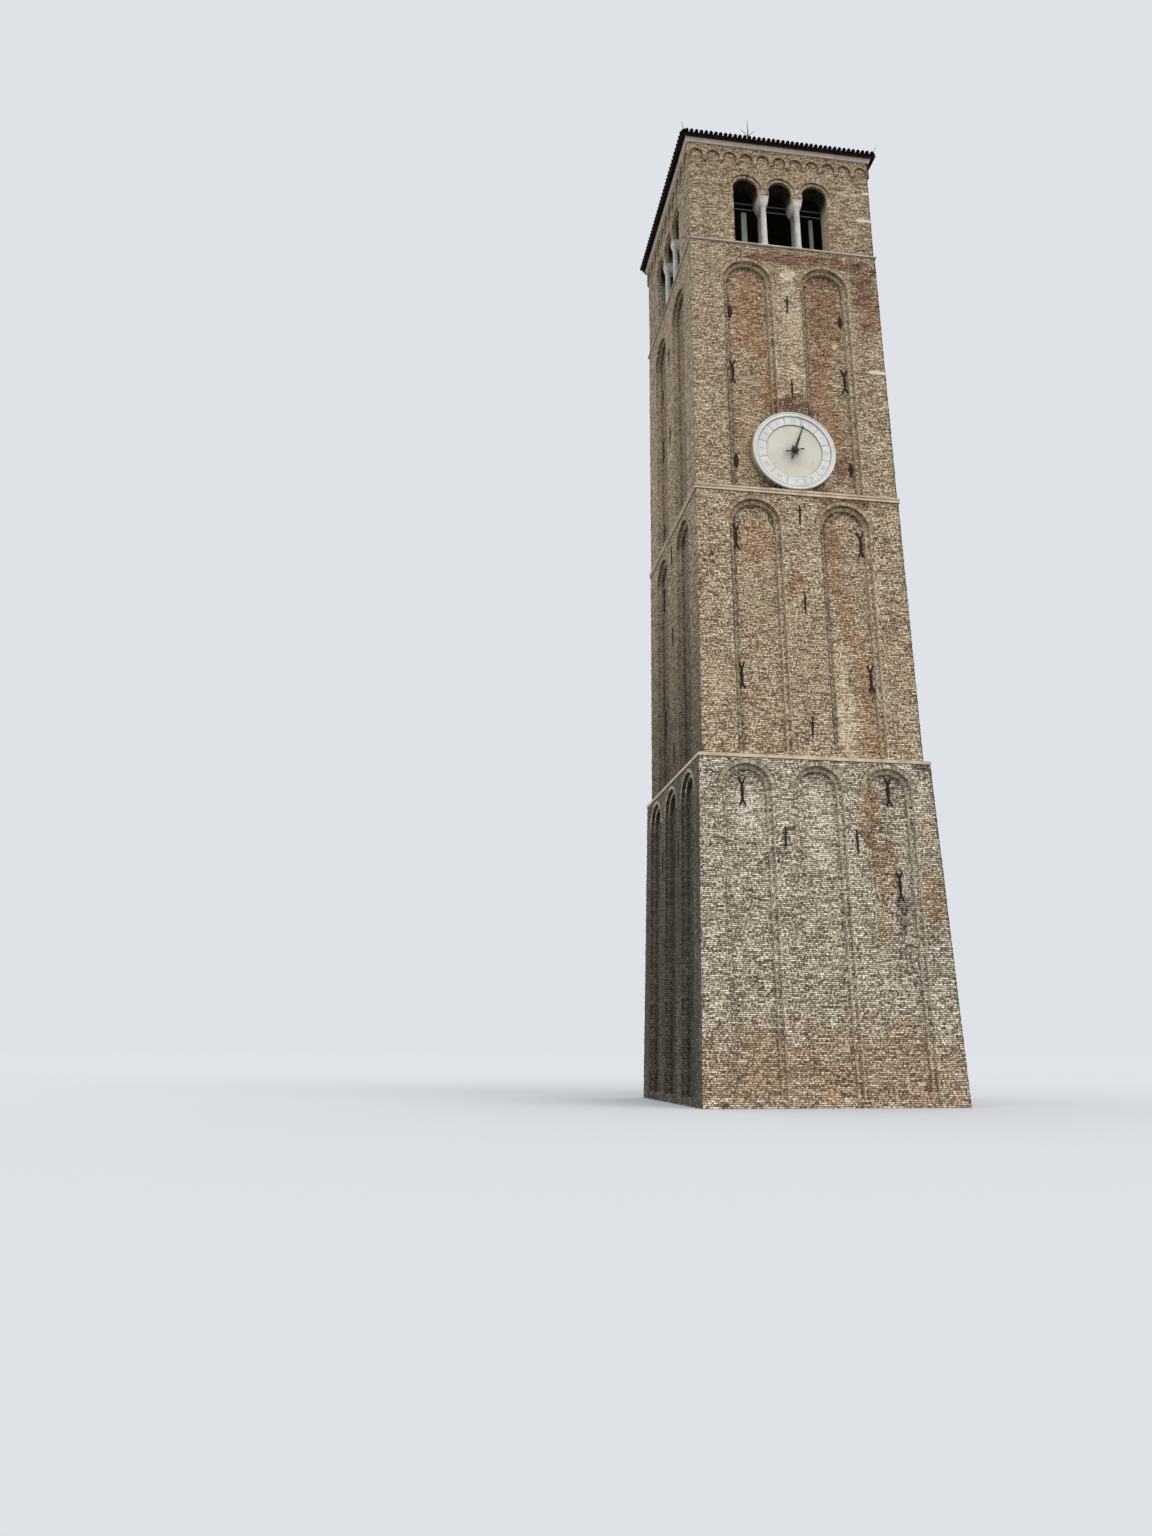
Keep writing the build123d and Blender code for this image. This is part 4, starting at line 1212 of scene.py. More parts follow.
@dataclass
class Workshop:
    """What every sub-assembly builds with: the setter, the patterns and the shared finishes."""

    setter: StoneSetter = field(default_factory=StoneSetter)
    patterns: Patterns = field(default_factory=Patterns)
    walling: dict = field(default_factory=dict)

    def __post_init__(self) -> None:
        """Makes the finishes that several sub-assemblies share."""
        self.arch_brick = LooseBrick().material()
        self.old_iron = Iron("old_iron", "151211", "2b1e18", rust_share=0.5, roughness=0.85).material()
        self.black_iron = Iron("black_iron", "191a1a", "33261f", rust_share=0.15, roughness=0.55).material()


def dress(material: Material, nodes: Iterable[str]) -> None:
    """Gives a material to nodes of the frame.

    Args:
        material: the finish.
        nodes: the nodes' names.
    """
    for name in nodes:
        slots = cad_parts[name].data.materials
        slots.clear()
        slots.append(material)


@dataclass
class Walls:
    """The brick walls of the four stages, with bricks that stand proud of their faces and toothed corners."""

    proud_share: float = 0.2
    brick_depth: float = 0.05
    least_reach: float = 0.003
    most_reach: float = 0.012
    corner_long: float = 0.25
    corner_short: float = 0.12
    clock_clear: float = 1.56
    corner_clear: float = 0.3
    corner_skipped: float = 0.45
    corner_reach: tuple = (0.003, 0.013)
    corner_top: float = 33.55
    corbel_foot: float = 33.62
    openings_half: float = 2.14
    openings_top: float = 33.5
    quoin_rows: tuple = ((UPPER, 25.24, 0.62, 0.15), (BELFRY, 33.09, 0.28, 0.1), (BELFRY, 31.84, 0.58, 0.13))
    quoin_depth: float = 0.1

    def finishes(self) -> dict[Level, Brickwork]:
        """Returns the brickwork of each stage, with the patches that the front shows."""
        return {
            BASE: Brickwork(BASE, CREAM, orange=0.07, recess_orange=0.06, red=0.06, light=1.2, contrast=0.6, lumps=3.0,
                            inside=2.55, soffit_shade=0.45, open_joints=0.97, worn=0.021, patches=patches(BASE_PATCHES)),
            MIDDLE: Brickwork(MIDDLE, BEIGE, orange=0.1, recess_orange=0.1, red=0.08, light=1.09, contrast=0.5,
                              lumps=3.2, inside=2.62, soffit_shade=0.45, open_joints=0.9, worn=0.018,
                              patches=patches(MIDDLE_PATCHES)),
            UPPER: Brickwork(UPPER, BEIGE, orange=0.08, recess_orange=0.22, red=0.08, light=1.01, contrast=0.45,
                             lumps=2.7, inside=2.68, soffit_shade=0.45, open_joints=0.85, worn=0.017,
                             patches=patches(UPPER_PATCHES)),
            BELFRY: Brickwork(BELFRY, BEIGE, orange=0.1, recess_orange=0.0, red=0.08, light=0.92, contrast=0.45,
                              lumps=2.5, inside=BELFRY_INSIDE, soffit_shade=0.45, open_joints=0.85, worn=0.017,
                              patches=patches(BELFRY_PATCHES), opening_shade=(32.2, 32.85)),
        }

    def open_at(self, level: Level, side: Side, across: float, height: float) -> bool:
        """Tells whether a proud brick must stay away from a place, such as an opening, the corbels or the clock.

        Args:
            level: the stage.
            side: which face.
            across: distance from the middle.
            height: height above the ground.

        Returns:
            True where no proud brick may be.
        """
        if level is BELFRY:
            return height > self.corbel_foot or (abs(across) < self.openings_half and height < self.openings_top)
        if level is UPPER and side is Side.FRONT:
            return math.hypot(across - CLOCK_ACROSS, height - CLOCK_HEIGHT) < self.clock_clear
        return False

    def ring_at(self, level: Level, across: float, height: float) -> bool:
        """Tells whether a place is taken by the ring of bricks round a blind arch.

        Args:
            level: the stage.
            across: distance from the middle.
            height: height above the ground.

        Returns:
            True on such a ring.
        """
        for centre in level.centres:
            far = math.hypot(across - centre, height - level.springing())
            if height > level.springing() - 0.03 and level.arch_half - 0.17 < far < level.arch_half + 0.15:
                return True
        return False

    def proud_bricks(self, level: Level, rng: random.Random) -> Stones:
        """Chooses the bricks of a stage that stand out of their face.

        Args:
            level: the stage.
            rng: seeded random numbers.

        Returns:
            The bricks, each in its own place in the bond.
        """
        stones = Stones()
        reach_units = int(level.half_foot / BOND.unit()) + 2
        for side in Side:
            for row in level.rows():
                shift = BOND.shift(row)
                for step in range(-reach_units, reach_units):
                    cell = step + math.floor(shift)
                    for start, length in ((0.0, BOND.header), (BOND.header, BOND.stretcher)):
                        if rng.random() > self.proud_share:
                            continue
                        along = (cell - shift) * BOND.unit() + start + length / 2
                        height, across = BOND.row_height(row, along), along * side.sense()
                        near_corner = abs(across) > level.half(height) - self.corner_clear
                        if near_corner or self.open_at(level, side, across, height):
                            continue
                        margin = length / 2 + 0.01
                        spots = [(across + dx, height + dz) for dx in (-margin, margin) for dz in (-0.04, 0.04)]
                        orders = {level.orders_back(*spot) for spot in spots}
                        if len(orders) > 1 or any(self.ring_at(level, *spot) for spot in spots):
                            continue
                        reach = rng.uniform(self.least_reach, self.most_reach)
                        out = reach - self.brick_depth / 2 - orders.pop() * level.order_depth
                        size = (length - BOND.joint, BOND.course - BOND.joint, self.brick_depth)
                        stones.lay(level.on_face(side, across, height, out), size)
        return stones

    def corner_bricks(self, stones: Stones, level: Level, rng: random.Random) -> None:
        """Adds the bricks that make a stage's corners toothed, long and short in turn.

        Args:
            stones: takes the bricks.
            level: the stage.
            rng: seeded random numbers.
        """
        for side in Side:
            for row in level.rows():
                skipped = rng.random() < self.corner_skipped
                if skipped or (level is BELFRY and row * BOND.course > self.corner_top):
                    continue
                height = BOND.row_height(row, level.half(row * BOND.course))
                reach = rng.uniform(*self.corner_reach)
                wide, deep = self.corner_long, self.corner_short
                if row % 2:
                    wide, deep = deep, wide
                outer = level.half(height) + reach
                spot = Matrix.Translation((outer - wide / 2, -outer + deep / 2, height))
                stones.lay(side.turn() @ spot, (wide, deep, BOND.course - BOND.joint))

    def quoins(self, shop: Workshop) -> None:
        """Sets the few white stones that mend the front's right corner.

        Args:
            shop: the setter, the patterns and the shared finishes.
        """
        stones = Stones()
        for level, height, wide, high in self.quoin_rows:
            across = level.half(height) - wide / 2 + 0.016
            place = level.on_face(Side.FRONT, across, height, -self.quoin_depth / 2 + 0.014)
            stones.lay(place, (wide, high, self.quoin_depth))
        stone = WeatheredStone("white_quoin_stone", "dcd5c8", "c9c0b0", "a59a88", cloud=2.0, grain=26.0,
                               streak=0.2).material()
        made = shop.setter.build("white_quoins", stones, shop.patterns.dressed, stone, tilt=0.01, wear=0.006, seed=5)

    def build(self, shop: Workshop) -> None:
        """Dresses the walls and sets their bricks.

        Args:
            shop: the setter, the patterns and the shared finishes.
        """
        for seed, (level, finish) in enumerate(self.finishes().items()):
            material = finish.material()
            dress(material, [f"{level.name}_{side.name.lower()}_wall" for side in Side])
            if level is BELFRY:
                dress(material, [f"{side.name.lower()}_corbel_table" for side in Side])
            stones = self.proud_bricks(level, random.Random(seed))
            self.corner_bricks(stones, level, random.Random(11 + seed))
            made = shop.setter.build(f"{level.name}_proud_bricks", stones, shop.patterns.brick, material,
                                     tilt=0.02, wear=0.006, seed=seed + 1)
            shop.walling[level] = material
        self.quoins(shop)


@dataclass
class ArchRings:
    """The rings of bricks set on edge round blind arches, belfry arches and corbel arches."""

    brick_width: float = 0.056
    joint: float = 0.012
    ring_length: float = 0.128
    depth: float = 0.05
    reach: float = 0.009
    belfry_arches: tuple = ((-1.34, 0.49), (0.0, 0.45), (1.34, 0.49))
    belfry_crown: float = 33.2
    archivolt: float = 0.12
    archivolt_depth: float = 0.06
    outer_length: float = 0.12
    hidden_angle: float = 24.0

    def ring(self, stones: Stones, level: Level, side: Side, centre: tuple[float, float], radius: float,
             length: float, out: float, rng: random.Random, start: float = 0.0, end: float = 180.0) -> None:
        """Lays one half ring of bricks on edge.

        Args:
            stones: takes the bricks.
            level: the stage whose face they are on.
            side: which face.
            centre: the ring's centre, across and height.
            radius: the middle radius of the ring.
            length: the bricks' length along the radius.
            out: where their front stands from the face.
            rng: seeded random numbers.
            start: the angle it starts at, in degrees from the right.
            end: the angle it ends at.
        """
        sweep = math.radians(end - start)
        count = max(3, round(radius * sweep / (self.brick_width + self.joint)))
        for i in range(count):
            angle = math.radians(start) + (i + 0.5) / count * sweep
            spot = level.on_face(side, centre[0] + radius * math.cos(angle), centre[1] + radius * math.sin(angle),
                                 out - self.depth / 2 + rng.uniform(-0.003, 0.004))
            width = radius * sweep / count - self.joint
            place = spot @ Matrix.Rotation(angle - math.pi / 2, 4, "Z")
            shade = rng.uniform(0.2, 0.58) if rng.random() < 0.95 else rng.uniform(0.72, 0.88)
            stones.lay(place, (width, length, self.depth), shade)

    def blind(self, levels: Sequence[Level], rng: random.Random) -> Stones:
        """Returns the rings of the blind arches of some stages: one flush with the face and one on the first order.

        Args:
            levels: the stages.
            rng: seeded random numbers.

        Returns:
            The bricks.
        """
        stones = Stones()
        for level in levels:
            for side in Side:
                for across in level.centres:
                    centre = (across, level.springing())
                    self.ring(stones, level, side, centre, level.arch_half + self.ring_length / 2 + 0.006,
                              self.ring_length, self.reach, rng)
                    self.ring(stones, level, side, centre, level.arch_half - level.order / 2, level.order - 0.012,
                              self.reach - level.order_depth, rng)
        return stones

    def belfry(self, rng: random.Random) -> Stones:
        """Returns the rings of the belfry arches: one in each shallow outer ring and one round it.

        Args:
            rng: seeded random numbers.

        Returns:
            The bricks.
        """
        stones = Stones()
        for side in Side:
            for across, radius in self.belfry_arches:
                centre = (across, self.belfry_crown - radius)
                self.ring(stones, BELFRY, side, centre, radius + self.archivolt / 2, self.archivolt - 0.01,
                          0.01 - self.archivolt_depth, rng)
                start = 0.0 if across > 0 else self.hidden_angle
                end = 180.0 if across < 0 else 180.0 - self.hidden_angle
                self.ring(stones, BELFRY, side, centre, radius + self.archivolt + 0.07, self.outer_length, 0.008,
                          rng, start, end)
        return stones

    def corbels(self, rng: random.Random) -> Stones:
        """Returns the small rings over the corbel arches.

        Args:
            rng: seeded random numbers.

        Returns:
            The bricks.
        """
        stones = Stones()
        for side in Side:
            for across in CORBELS.centres():
                self.ring(stones, BELFRY, side, (across, CORBELS.springing), CORBELS.radius + 0.034, 0.062,
                          CORBELS.reach + 0.006, rng)
        return stones

    def build(self, shop: Workshop) -> None:
        """Sets all rings.

        Args:
            shop: the setter, the patterns and the shared finishes.
        """
        grey = LooseBrick("base_arch_brick", light=1.0, tones=("4a4034", "857a69", "ada089", "ddd3c0")).material()
        sets = (("blind_arch_rings", self.blind((MIDDLE, UPPER), random.Random(21)), shop.arch_brick),
                ("belfry_arch_rings", self.belfry(random.Random(22)), shop.arch_brick),
                ("corbel_arch_rings", self.corbels(random.Random(23)), shop.arch_brick),
                ("base_arch_rings", self.blind((BASE,), random.Random(24)), grey))
        for seed, (name, stones, brick) in enumerate(sets):
            made = shop.setter.build(name, stones, shop.patterns.brick, brick, tilt=0.02, wear=0.006, seed=31 + seed)


@dataclass
class Courses:
    """The string courses, the sill and the cornice: long bands of moulded brick and stone."""

    sill_foot: float = UPPER.top
    sill_top: float = BELFRY.foot
    sill_inner: float = BELFRY_INSIDE
    sill_outer: float = 3.585
    sill_thick: float = 0.075
    sill_bed: float = 3.528

    def sill(self, shop: Workshop) -> None:
        """Cuts the thin stone sill with its rounded edge, and the course of bricks under it.

        Args:
            shop: the setter, the patterns and the shared finishes.
        """
        top, foot, out = self.sill_top, self.sill_top - self.sill_thick, self.sill_outer
        stone = WeatheredStone("sill_stone", "cdc5b6", "b9afa0", "8e8477", cloud=1.2, grain=18.0, streak=0.25,
                               speckle=0.15, roughness=0.8, relief=0.003, joints=1.1, under=0.3).material()
        slab = Shapes()
        slab.square_ring(((self.sill_inner, foot), (out - 0.02, foot), (out - 0.006, foot + 0.01), (out, foot + 0.024),
                          (out, top - 0.02), (out - 0.008, top - 0.006), (out - 0.022, top), (self.sill_inner, top)))
        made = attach(slab.piece("moulded_sill", stone, False), TOWER)
        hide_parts("belfry_sill")
        bed = Shapes()
        bed.square_ring(((self.sill_inner, self.sill_foot), (self.sill_bed, self.sill_foot), (self.sill_bed, foot),
                         (self.sill_inner, foot)))
        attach(bed.piece("sill_bed_bricks", shop.walling[UPPER], False), TOWER)

    def build(self, shop: Workshop) -> None:
        """Dresses the bands.

        Args:
            shop: the setter, the patterns and the shared finishes.
        """
        band = WeatheredStone("moulded_brick_band", "dccbb6", "c8b6a0", "9a8773", cloud=1.6, grain=22.0, streak=0.2,
                              speckle=0.2, roughness=0.9, relief=0.005, joints=0.27, under=0.5).material()
        dress(band, ("lower_string_course", "upper_string_course"))
        # the cornice takes painted shade on its inner parts and a painted shadow of the eaves along its top
        cornice = WeatheredStone("cornice_brick", "f0e3d8", "e2d4c8", "bfae9f", cloud=1.3, grain=18.0, streak=0.2,
                                 speckle=0.1, roughness=0.9, relief=0.004, under=0.1, behind=(3.1, 0.96),
                                 shaded_above=(34.6, 34.65)).material()
        dress(cornice, ("cornice",))
        self.sill(shop)


@dataclass(frozen=True)
class PostPaint:
    """The two posts inside: the left one pale grey green, the right one bare grey brown."""

    left: str = "7b8481"
    right: str = "77736a"

    def material(self) -> Material:
        """Builds the finish.

        Returns:
            The material.
        """
        g = Graph("post_paint")
        spot = g.place()
        x, _, z = g.parts(spot)
        clouds = g.noise(spot, 5.0, 4.0, 0.6)
        runs = g.noise(g.vector(x * 30.0, 0.0, z * 1.5), 1.0, 3.0)
        colour = g.mix(x > 0.0, paint(self.left), paint(self.right))
        colour = g.mix(runs.ease(0.55, 0.75) * 0.4, colour, paint("5d5247"))
        g.bump(clouds + runs, 0.003, 0.7)
        return g.done(g.scaled(colour, clouds.spread(0.3, 0.7, 0.9, 1.08)), 0.7, 0.3)


@dataclass
class BelfryFittings:
    """Columns, capitals, bases, tie bars, posts and floor of the belfry.

    The rows of a shaft are shares of its radius and heights from its seat or from the capital's foot. Those of a
    capital are height, half width, half length and how square its outline is. The base is a profile of radius and
    height.
    """

    sill: float = BELFRY.foot
    column_across: float = 0.65
    outer_line: float = 3.35
    inner_line: float = 2.888
    outer_radius: float = 0.106
    inner_radius: float = 0.074
    capital_foot: float = 32.10
    capital_half: float = 0.205
    capital_front: float = BELFRY.half_foot
    capital_back: float = BELFRY_INSIDE
    post_line: float = 2.64
    post_top: float = 32.37
    posts: tuple = ((-1.18, 0.105), (1.46, 0.075))
    shaft_seat: float = 0.4
    shaft_foot: tuple = ((0.0, -0.16), (1.06, -0.16), (1.03, -0.08), (1.02, 0.3), (1.0, 0.9))
    shaft_neck: tuple = ((0.95, -0.12), (0.98, -0.09), (1.15, -0.075), (1.15, -0.05), (0.98, -0.035), (1.0, 0.05),
                         (0.0, 0.05))
    base: tuple = ((0.0, 0.0), (0.14, 0.0), (0.142, 0.08), (0.134, 0.09), (0.141, 0.105), (0.141, 0.13),
                   (0.13, 0.145), (0.118, 0.165), (0.118, 0.185), (0.128, 0.2), (0.128, 0.22), (0.115, 0.235),
                   (0.109, 0.26), (0.0, 0.26))
    capital_rows: tuple = ((0.0, 0.118, 0.31, 3.0), (0.03, 0.135, 0.325, 3.2), (0.09, 0.168, 0.338, 4.0),
                           (0.16, 0.19, 0.346, 5.0), (0.23, 0.2, 0.35, 6.0), (0.29, 0.196, 0.348, 7.0),
                           (0.3, 0.186, 0.338, 8.0), (0.312, 0.198, 0.352, 14.0))

    def shaft_places(self, side: Side) -> list[tuple[Matrix, float]]:
        """Returns the foot and the radius of each of the four shafts of one side."""
        return [(side.turn() @ Matrix.Translation((across, -line, self.sill)), radius)
                for across in (-self.column_across, self.column_across)
                for line, radius in ((self.outer_line, self.outer_radius), (self.inner_line, self.inner_radius))]

    def columns(self, stone: Material, side: Side) -> None:
        """Turns the four shafts of one side, a little swollen and with a ring under their necks.

        Args:
            stone: their finish.
            side: which side.
        """
        shapes = Shapes()
        top = self.capital_foot - self.sill
        rows = [(share, self.shaft_seat + rise) for share, rise in self.shaft_foot]
        rows += [(share, top + rise) for share, rise in self.shaft_neck]
        for place, radius in self.shaft_places(side):
            shapes.turned([(radius * share, height) for share, height in rows], place, 24, closed=False)
        name = side.name.lower()
        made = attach(shapes.piece(f"{name}_shafts", stone), TOWER)
        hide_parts(f"belfry_{name}_columns")

    def bases(self, stone: Material) -> None:
        """Turns the bases of all shafts: a plinth, two rolls and the hollow between them.

        Args:
            stone: their finish.
        """
        shapes = Shapes()
        for side in Side:
            for place, _ in self.shaft_places(side):
                shapes.turned(self.base, place, 24, closed=False)
        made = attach(shapes.piece("turned_bases", stone), TOWER)
        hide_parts("column_bases")

    def capitals(self, stone: Material, side: Side) -> None:
        """Carves the long capitals of one side: each a rounded body that widens upwards to a slab.

        Args:
            stone: their finish.
            side: which side.
        """
        shapes = Shapes()
        length = (self.capital_front - self.capital_back) / 2
        middle = (self.capital_front + self.capital_back) / 2
        slab, square, worn = self.capital_half - 0.003, 18.0, 0.014
        rows = (*self.capital_rows, (0.322, slab, 0.357, square), (0.37, slab, 0.357, square),
                (0.38, self.capital_half - worn, length - worn, square))
        for across in (-self.column_across, self.column_across):
            place = side.turn() @ Matrix.Translation((across, -middle, 0.0))
            rings = []
            for height, half, long, power in rows:
                spots = [rounded(math.tau * (i + 0.5) / 40, 2 / power) for i in range(40)]
                rings.append([place @ Vector((half * px, long * py, self.capital_foot + height)) for px, py in spots])
            shapes.tube(rings)
        name = side.name.lower()
        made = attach(shapes.piece(f"{name}_crutch_capitals", stone), TOWER)
        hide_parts(f"belfry_{name}_capitals")

    def inner_posts(self) -> None:
        """Sets up the two posts inside the front openings."""
        shapes = Shapes()
        for across, half in self.posts:
            path = [Vector((across, -self.post_line, height)) for height in (self.sill, 31.0, self.post_top)]
            shapes.bar(path, [(half, 0.05)] * 3, Vector((0, -1, 0)), 12, 0.2)
        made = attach(shapes.piece("bell_frame_posts", PostPaint().material()), TOWER)
        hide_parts("inner_posts")

    def build(self, shop: Workshop) -> None:
        """Makes and dresses the fittings.

        Args:
            shop: the setter, the patterns and the shared finishes; not used.
        """
        # the inner shafts and the capitals' inner ends take painted shade
        shaft = WeatheredStone("column_marble", "d8d5cf", "bfbbb5", "8f8a83", cloud=2.2, grain=24.0, streak=0.25,
                               speckle=0.35, roughness=0.6, behind=(3.16, 0.6)).material()
        block = WeatheredStone("capital_stone", "e4dfd6", "cbc5bb", "948d82", cloud=5.0, grain=20.0, streak=0.3,
                               speckle=0.35, roughness=0.8, relief=0.014, behind=(3.1, 0.35)).material()
        for side in Side:
            self.columns(shaft, side)
            self.capitals(block, side)
        self.bases(block)
        self.inner_posts()
        dress(Boards().material(), ("belfry_floor",))
        dress(Iron("tie_bar_steel", "6d6c6a", "4c4039", rust_share=0.1, aside=0.25).material(), ("tie_bars",))


@dataclass
class Roof:
    """The low pyramid of barrel tiles: covers and pans in rows, and larger tiles on the hips."""

    pitch: float = 22.0
    eave_half: float = 3.71
    foot: float = 34.68
    top: float = 36.114
    cap_half: float = 0.16
    columns: int = 40
    exposure: float = 0.30
    length: float = 0.41
    overhang: float = 0.1
    cover_radius: float = 0.082
    cover_rise: float = 0.122
    pan_radius: float = 0.11
    eave_lift: float = 0.05
    eave_length: float = 0.26
    tile_tip: float = 0.045
    least_tile: float = 0.12
    hip_size: tuple = (0.125, 0.45, 0.105)
    hip_exposure: float = 0.34
    hip_lift: float = 0.035
    hip_tip: float = 0.04

    def slope_place(self, side: Side, across: float, run: float, lift: float, tip: float) -> Matrix:
        """Finds a place on one slope of the roof.

        Args:
            side: which slope.
            across: distance from its middle line.
            run: distance up the slope from the eave.
            lift: distance out of the slope.
            tip: how far the tile's top end dips, in radians.

        Returns:
            A matrix whose axes run across, up the slope and out of it.
        """
        lean = math.radians(self.pitch)
        up, out = Vector((0, math.cos(lean), math.sin(lean))), Vector((0, -math.sin(lean), math.cos(lean)))
        spot = Vector((across, -self.eave_half, self.foot)) + up * run + out * lift
        axes = Matrix((Vector((1, 0, 0)), up, out)).transposed().to_4x4()
        return side.turn() @ Matrix.Translation(spot) @ axes @ Matrix.Rotation(-tip, 4, "X")

    def field_tiles(self, radius: float, rise: float, lift: float, places: Sequence[float], shift: float,
                    rng: random.Random) -> Stones:
        """Lays one kind of tile in columns up the four slopes.

        Args:
            radius: half the tile's width at its wide end.
            rise: how high its arc stands.
            lift: height of its arc's centre over the slope.
            places: the columns' distances across.
            shift: how far up the rows start.
            rng: seeded random numbers.

        Returns:
            The tiles.
        """
        stones = Stones()
        for side in Side:
            for across in places:
                end = (self.eave_half - abs(across)) / math.cos(math.radians(self.pitch)) + 0.03
                run = shift
                while run < end - self.least_tile:
                    length = min(self.length, end - run)
                    place = self.slope_place(side, across + rng.uniform(-0.005, 0.005), run, lift,
                                             self.tile_tip)
                    stones.lay(place, (radius, length, rise), rng.random())
                    run += self.exposure
        return stones

    def eave_tiles(self, places: Sequence[float], rng: random.Random) -> Stones:
        """Lays the short tiles that hang over the edge of the deck, hollow side up.

        Args:
            places: the columns' distances across.
            rng: seeded random numbers.

        Returns:
            The tiles.
        """
        stones = Stones()
        for side in Side:
            for across in places:
                place = self.slope_place(side, across, -self.overhang * 0.9, self.eave_lift, 0.0)
                stones.lay(place, (self.pan_radius, self.eave_length, self.pan_radius), rng.random())
        return stones

    def hip_tiles(self, rng: random.Random) -> Stones:
        """Lays the larger tiles up the four hips.

        Args:
            rng: seeded random numbers.

        Returns:
            The tiles.
        """
        stones = Stones()
        low = Vector((self.eave_half, -self.eave_half, self.foot))
        high = Vector((self.cap_half, -self.cap_half, self.top))
        way = (high - low).normalized()
        aside = Vector((1, 1, 0)).normalized()
        out = aside.cross(way)
        total = (high - low).length
        for side in Side:
            run = -0.03
            while run < total - 0.1:
                spot = low + way * run + out * self.hip_lift
                axes = Matrix((aside, way, out)).transposed().to_4x4()
                place = side.turn() @ Matrix.Translation(spot) @ axes @ Matrix.Rotation(
                    -self.hip_tip, 4, "X")
                stones.lay(place, self.hip_size, rng.random())
                run += self.hip_exposure
        return stones

    def build(self, shop: Workshop) -> None:
        """Sets the tiles and dresses the deck under them.

        Args:
            shop: the setter, the patterns and the shared finishes.
        """
        tile = RoofTile().material()
        deck = WeatheredStone("roof_deck", "2e2622", "231c19", "171210", cloud=3.0, grain=25.0,
                              roughness=0.95).material()
        dress(deck, ("roof",))
        step = 2 * self.eave_half / self.columns
        covers = [(i + 0.5) * step - self.eave_half for i in range(self.columns)]
        pans = [i * step - self.eave_half for i in range(1, self.columns)]
        rng = random.Random(41)
        pieces = (
            ("cover_tiles", self.field_tiles(self.cover_radius, self.cover_rise, 0.028, covers, -self.overhang,
                                             rng), shop.patterns.cover),
            ("pan_tiles", self.field_tiles(self.pan_radius, self.pan_radius, 0.118, pans, -self.overhang * 0.8,
                                           rng), shop.patterns.pan),
            ("eave_tiles", self.eave_tiles(pans, rng), shop.patterns.pan),
            ("hip_tiles", self.hip_tiles(rng), shop.patterns.cover))
        for seed, (name, stones, pattern) in enumerate(pieces):
            made = shop.setter.build(name, stones, pattern, tile, tilt=0.018, wear=0.004, seed=51 + seed)
            if name == "cover_tiles":
                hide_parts("roof_tile_rows")
        cap = Shapes()
        cap.turned(((0.0, 0.0), (0.24, 0.0), (0.25, 0.05), (0.2, 0.12), (0.12, 0.17), (0.0, 0.19)),
                   Matrix.Translation((0, 0, self.top - 0.02)), 24, closed=False)
        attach(cap.piece("roof_cap", deck), TOWER)


@dataclass
class LightningRod:
    """The thin rod on the roof, its crown of four arms, and a spike at each corner of the eaves."""

    offset: float = 0.075
    foot: float = 36.11
    tip: float = 39.64
    radius: float = 0.013
    crown: float = 38.83
    arm: float = 0.43
    spike_foot: tuple = (3.68, -3.68, 34.79)
    spike_tip: tuple = (3.83, -3.83, 35.06)

    def build(self, shop: Workshop) -> None:
        """Builds the rod and puts it in the frame's place.

        Args:
            shop: the setter, the patterns and the shared finishes.
        """
        shapes = Shapes()
        x = Vector((self.offset, 0, 0))
        heights = ((0.0, 3.2), (0.16, 3.0), (0.2, 1.6), (0.26, 1.3), (self.crown - self.foot - 0.05, 1.0),
                   (self.crown - self.foot, 2.0), (self.crown - self.foot + 0.05, 1.0),
                   (self.tip - self.foot - 0.25, 0.9), (self.tip - self.foot, 0.6))
        path = [x + Vector((0, 0, self.foot + h)) for h, _ in heights]
        shapes.bar(path, [(self.radius * k, self.radius * k) for _, k in heights], Vector((1, 0, 0)), 8, 1.0)
        for side in Side:
            turn = side.turn()
            arm = self.arm * (1.0 if side in (Side.FRONT, Side.BACK) else 0.5)
            ends = [x + Vector((0, 0, self.crown)) + turn @ (Vector((1, 0, 1)).normalized() * r)
                    for r in (0.0, arm / 2, arm)]
            shapes.bar(ends, [(0.012, 0.012), (0.011, 0.011), (0.008, 0.008)], turn @ Vector((0, 1, 0)), 6, 1.0)
            corner, tip = turn @ Vector(self.spike_foot), turn @ Vector(self.spike_tip)
            shapes.bar([corner, (corner + tip) / 2, tip], [(0.012, 0.012), (0.01, 0.01), (0.003, 0.003)],
                       Vector((0, 0, 1)), 6, 1.0)
        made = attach(shapes.piece("forged_rod", shop.old_iron), TOWER)
        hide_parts("lightning_rod")
        log.info("forged_rod: tip at %.2f m", self.tip)


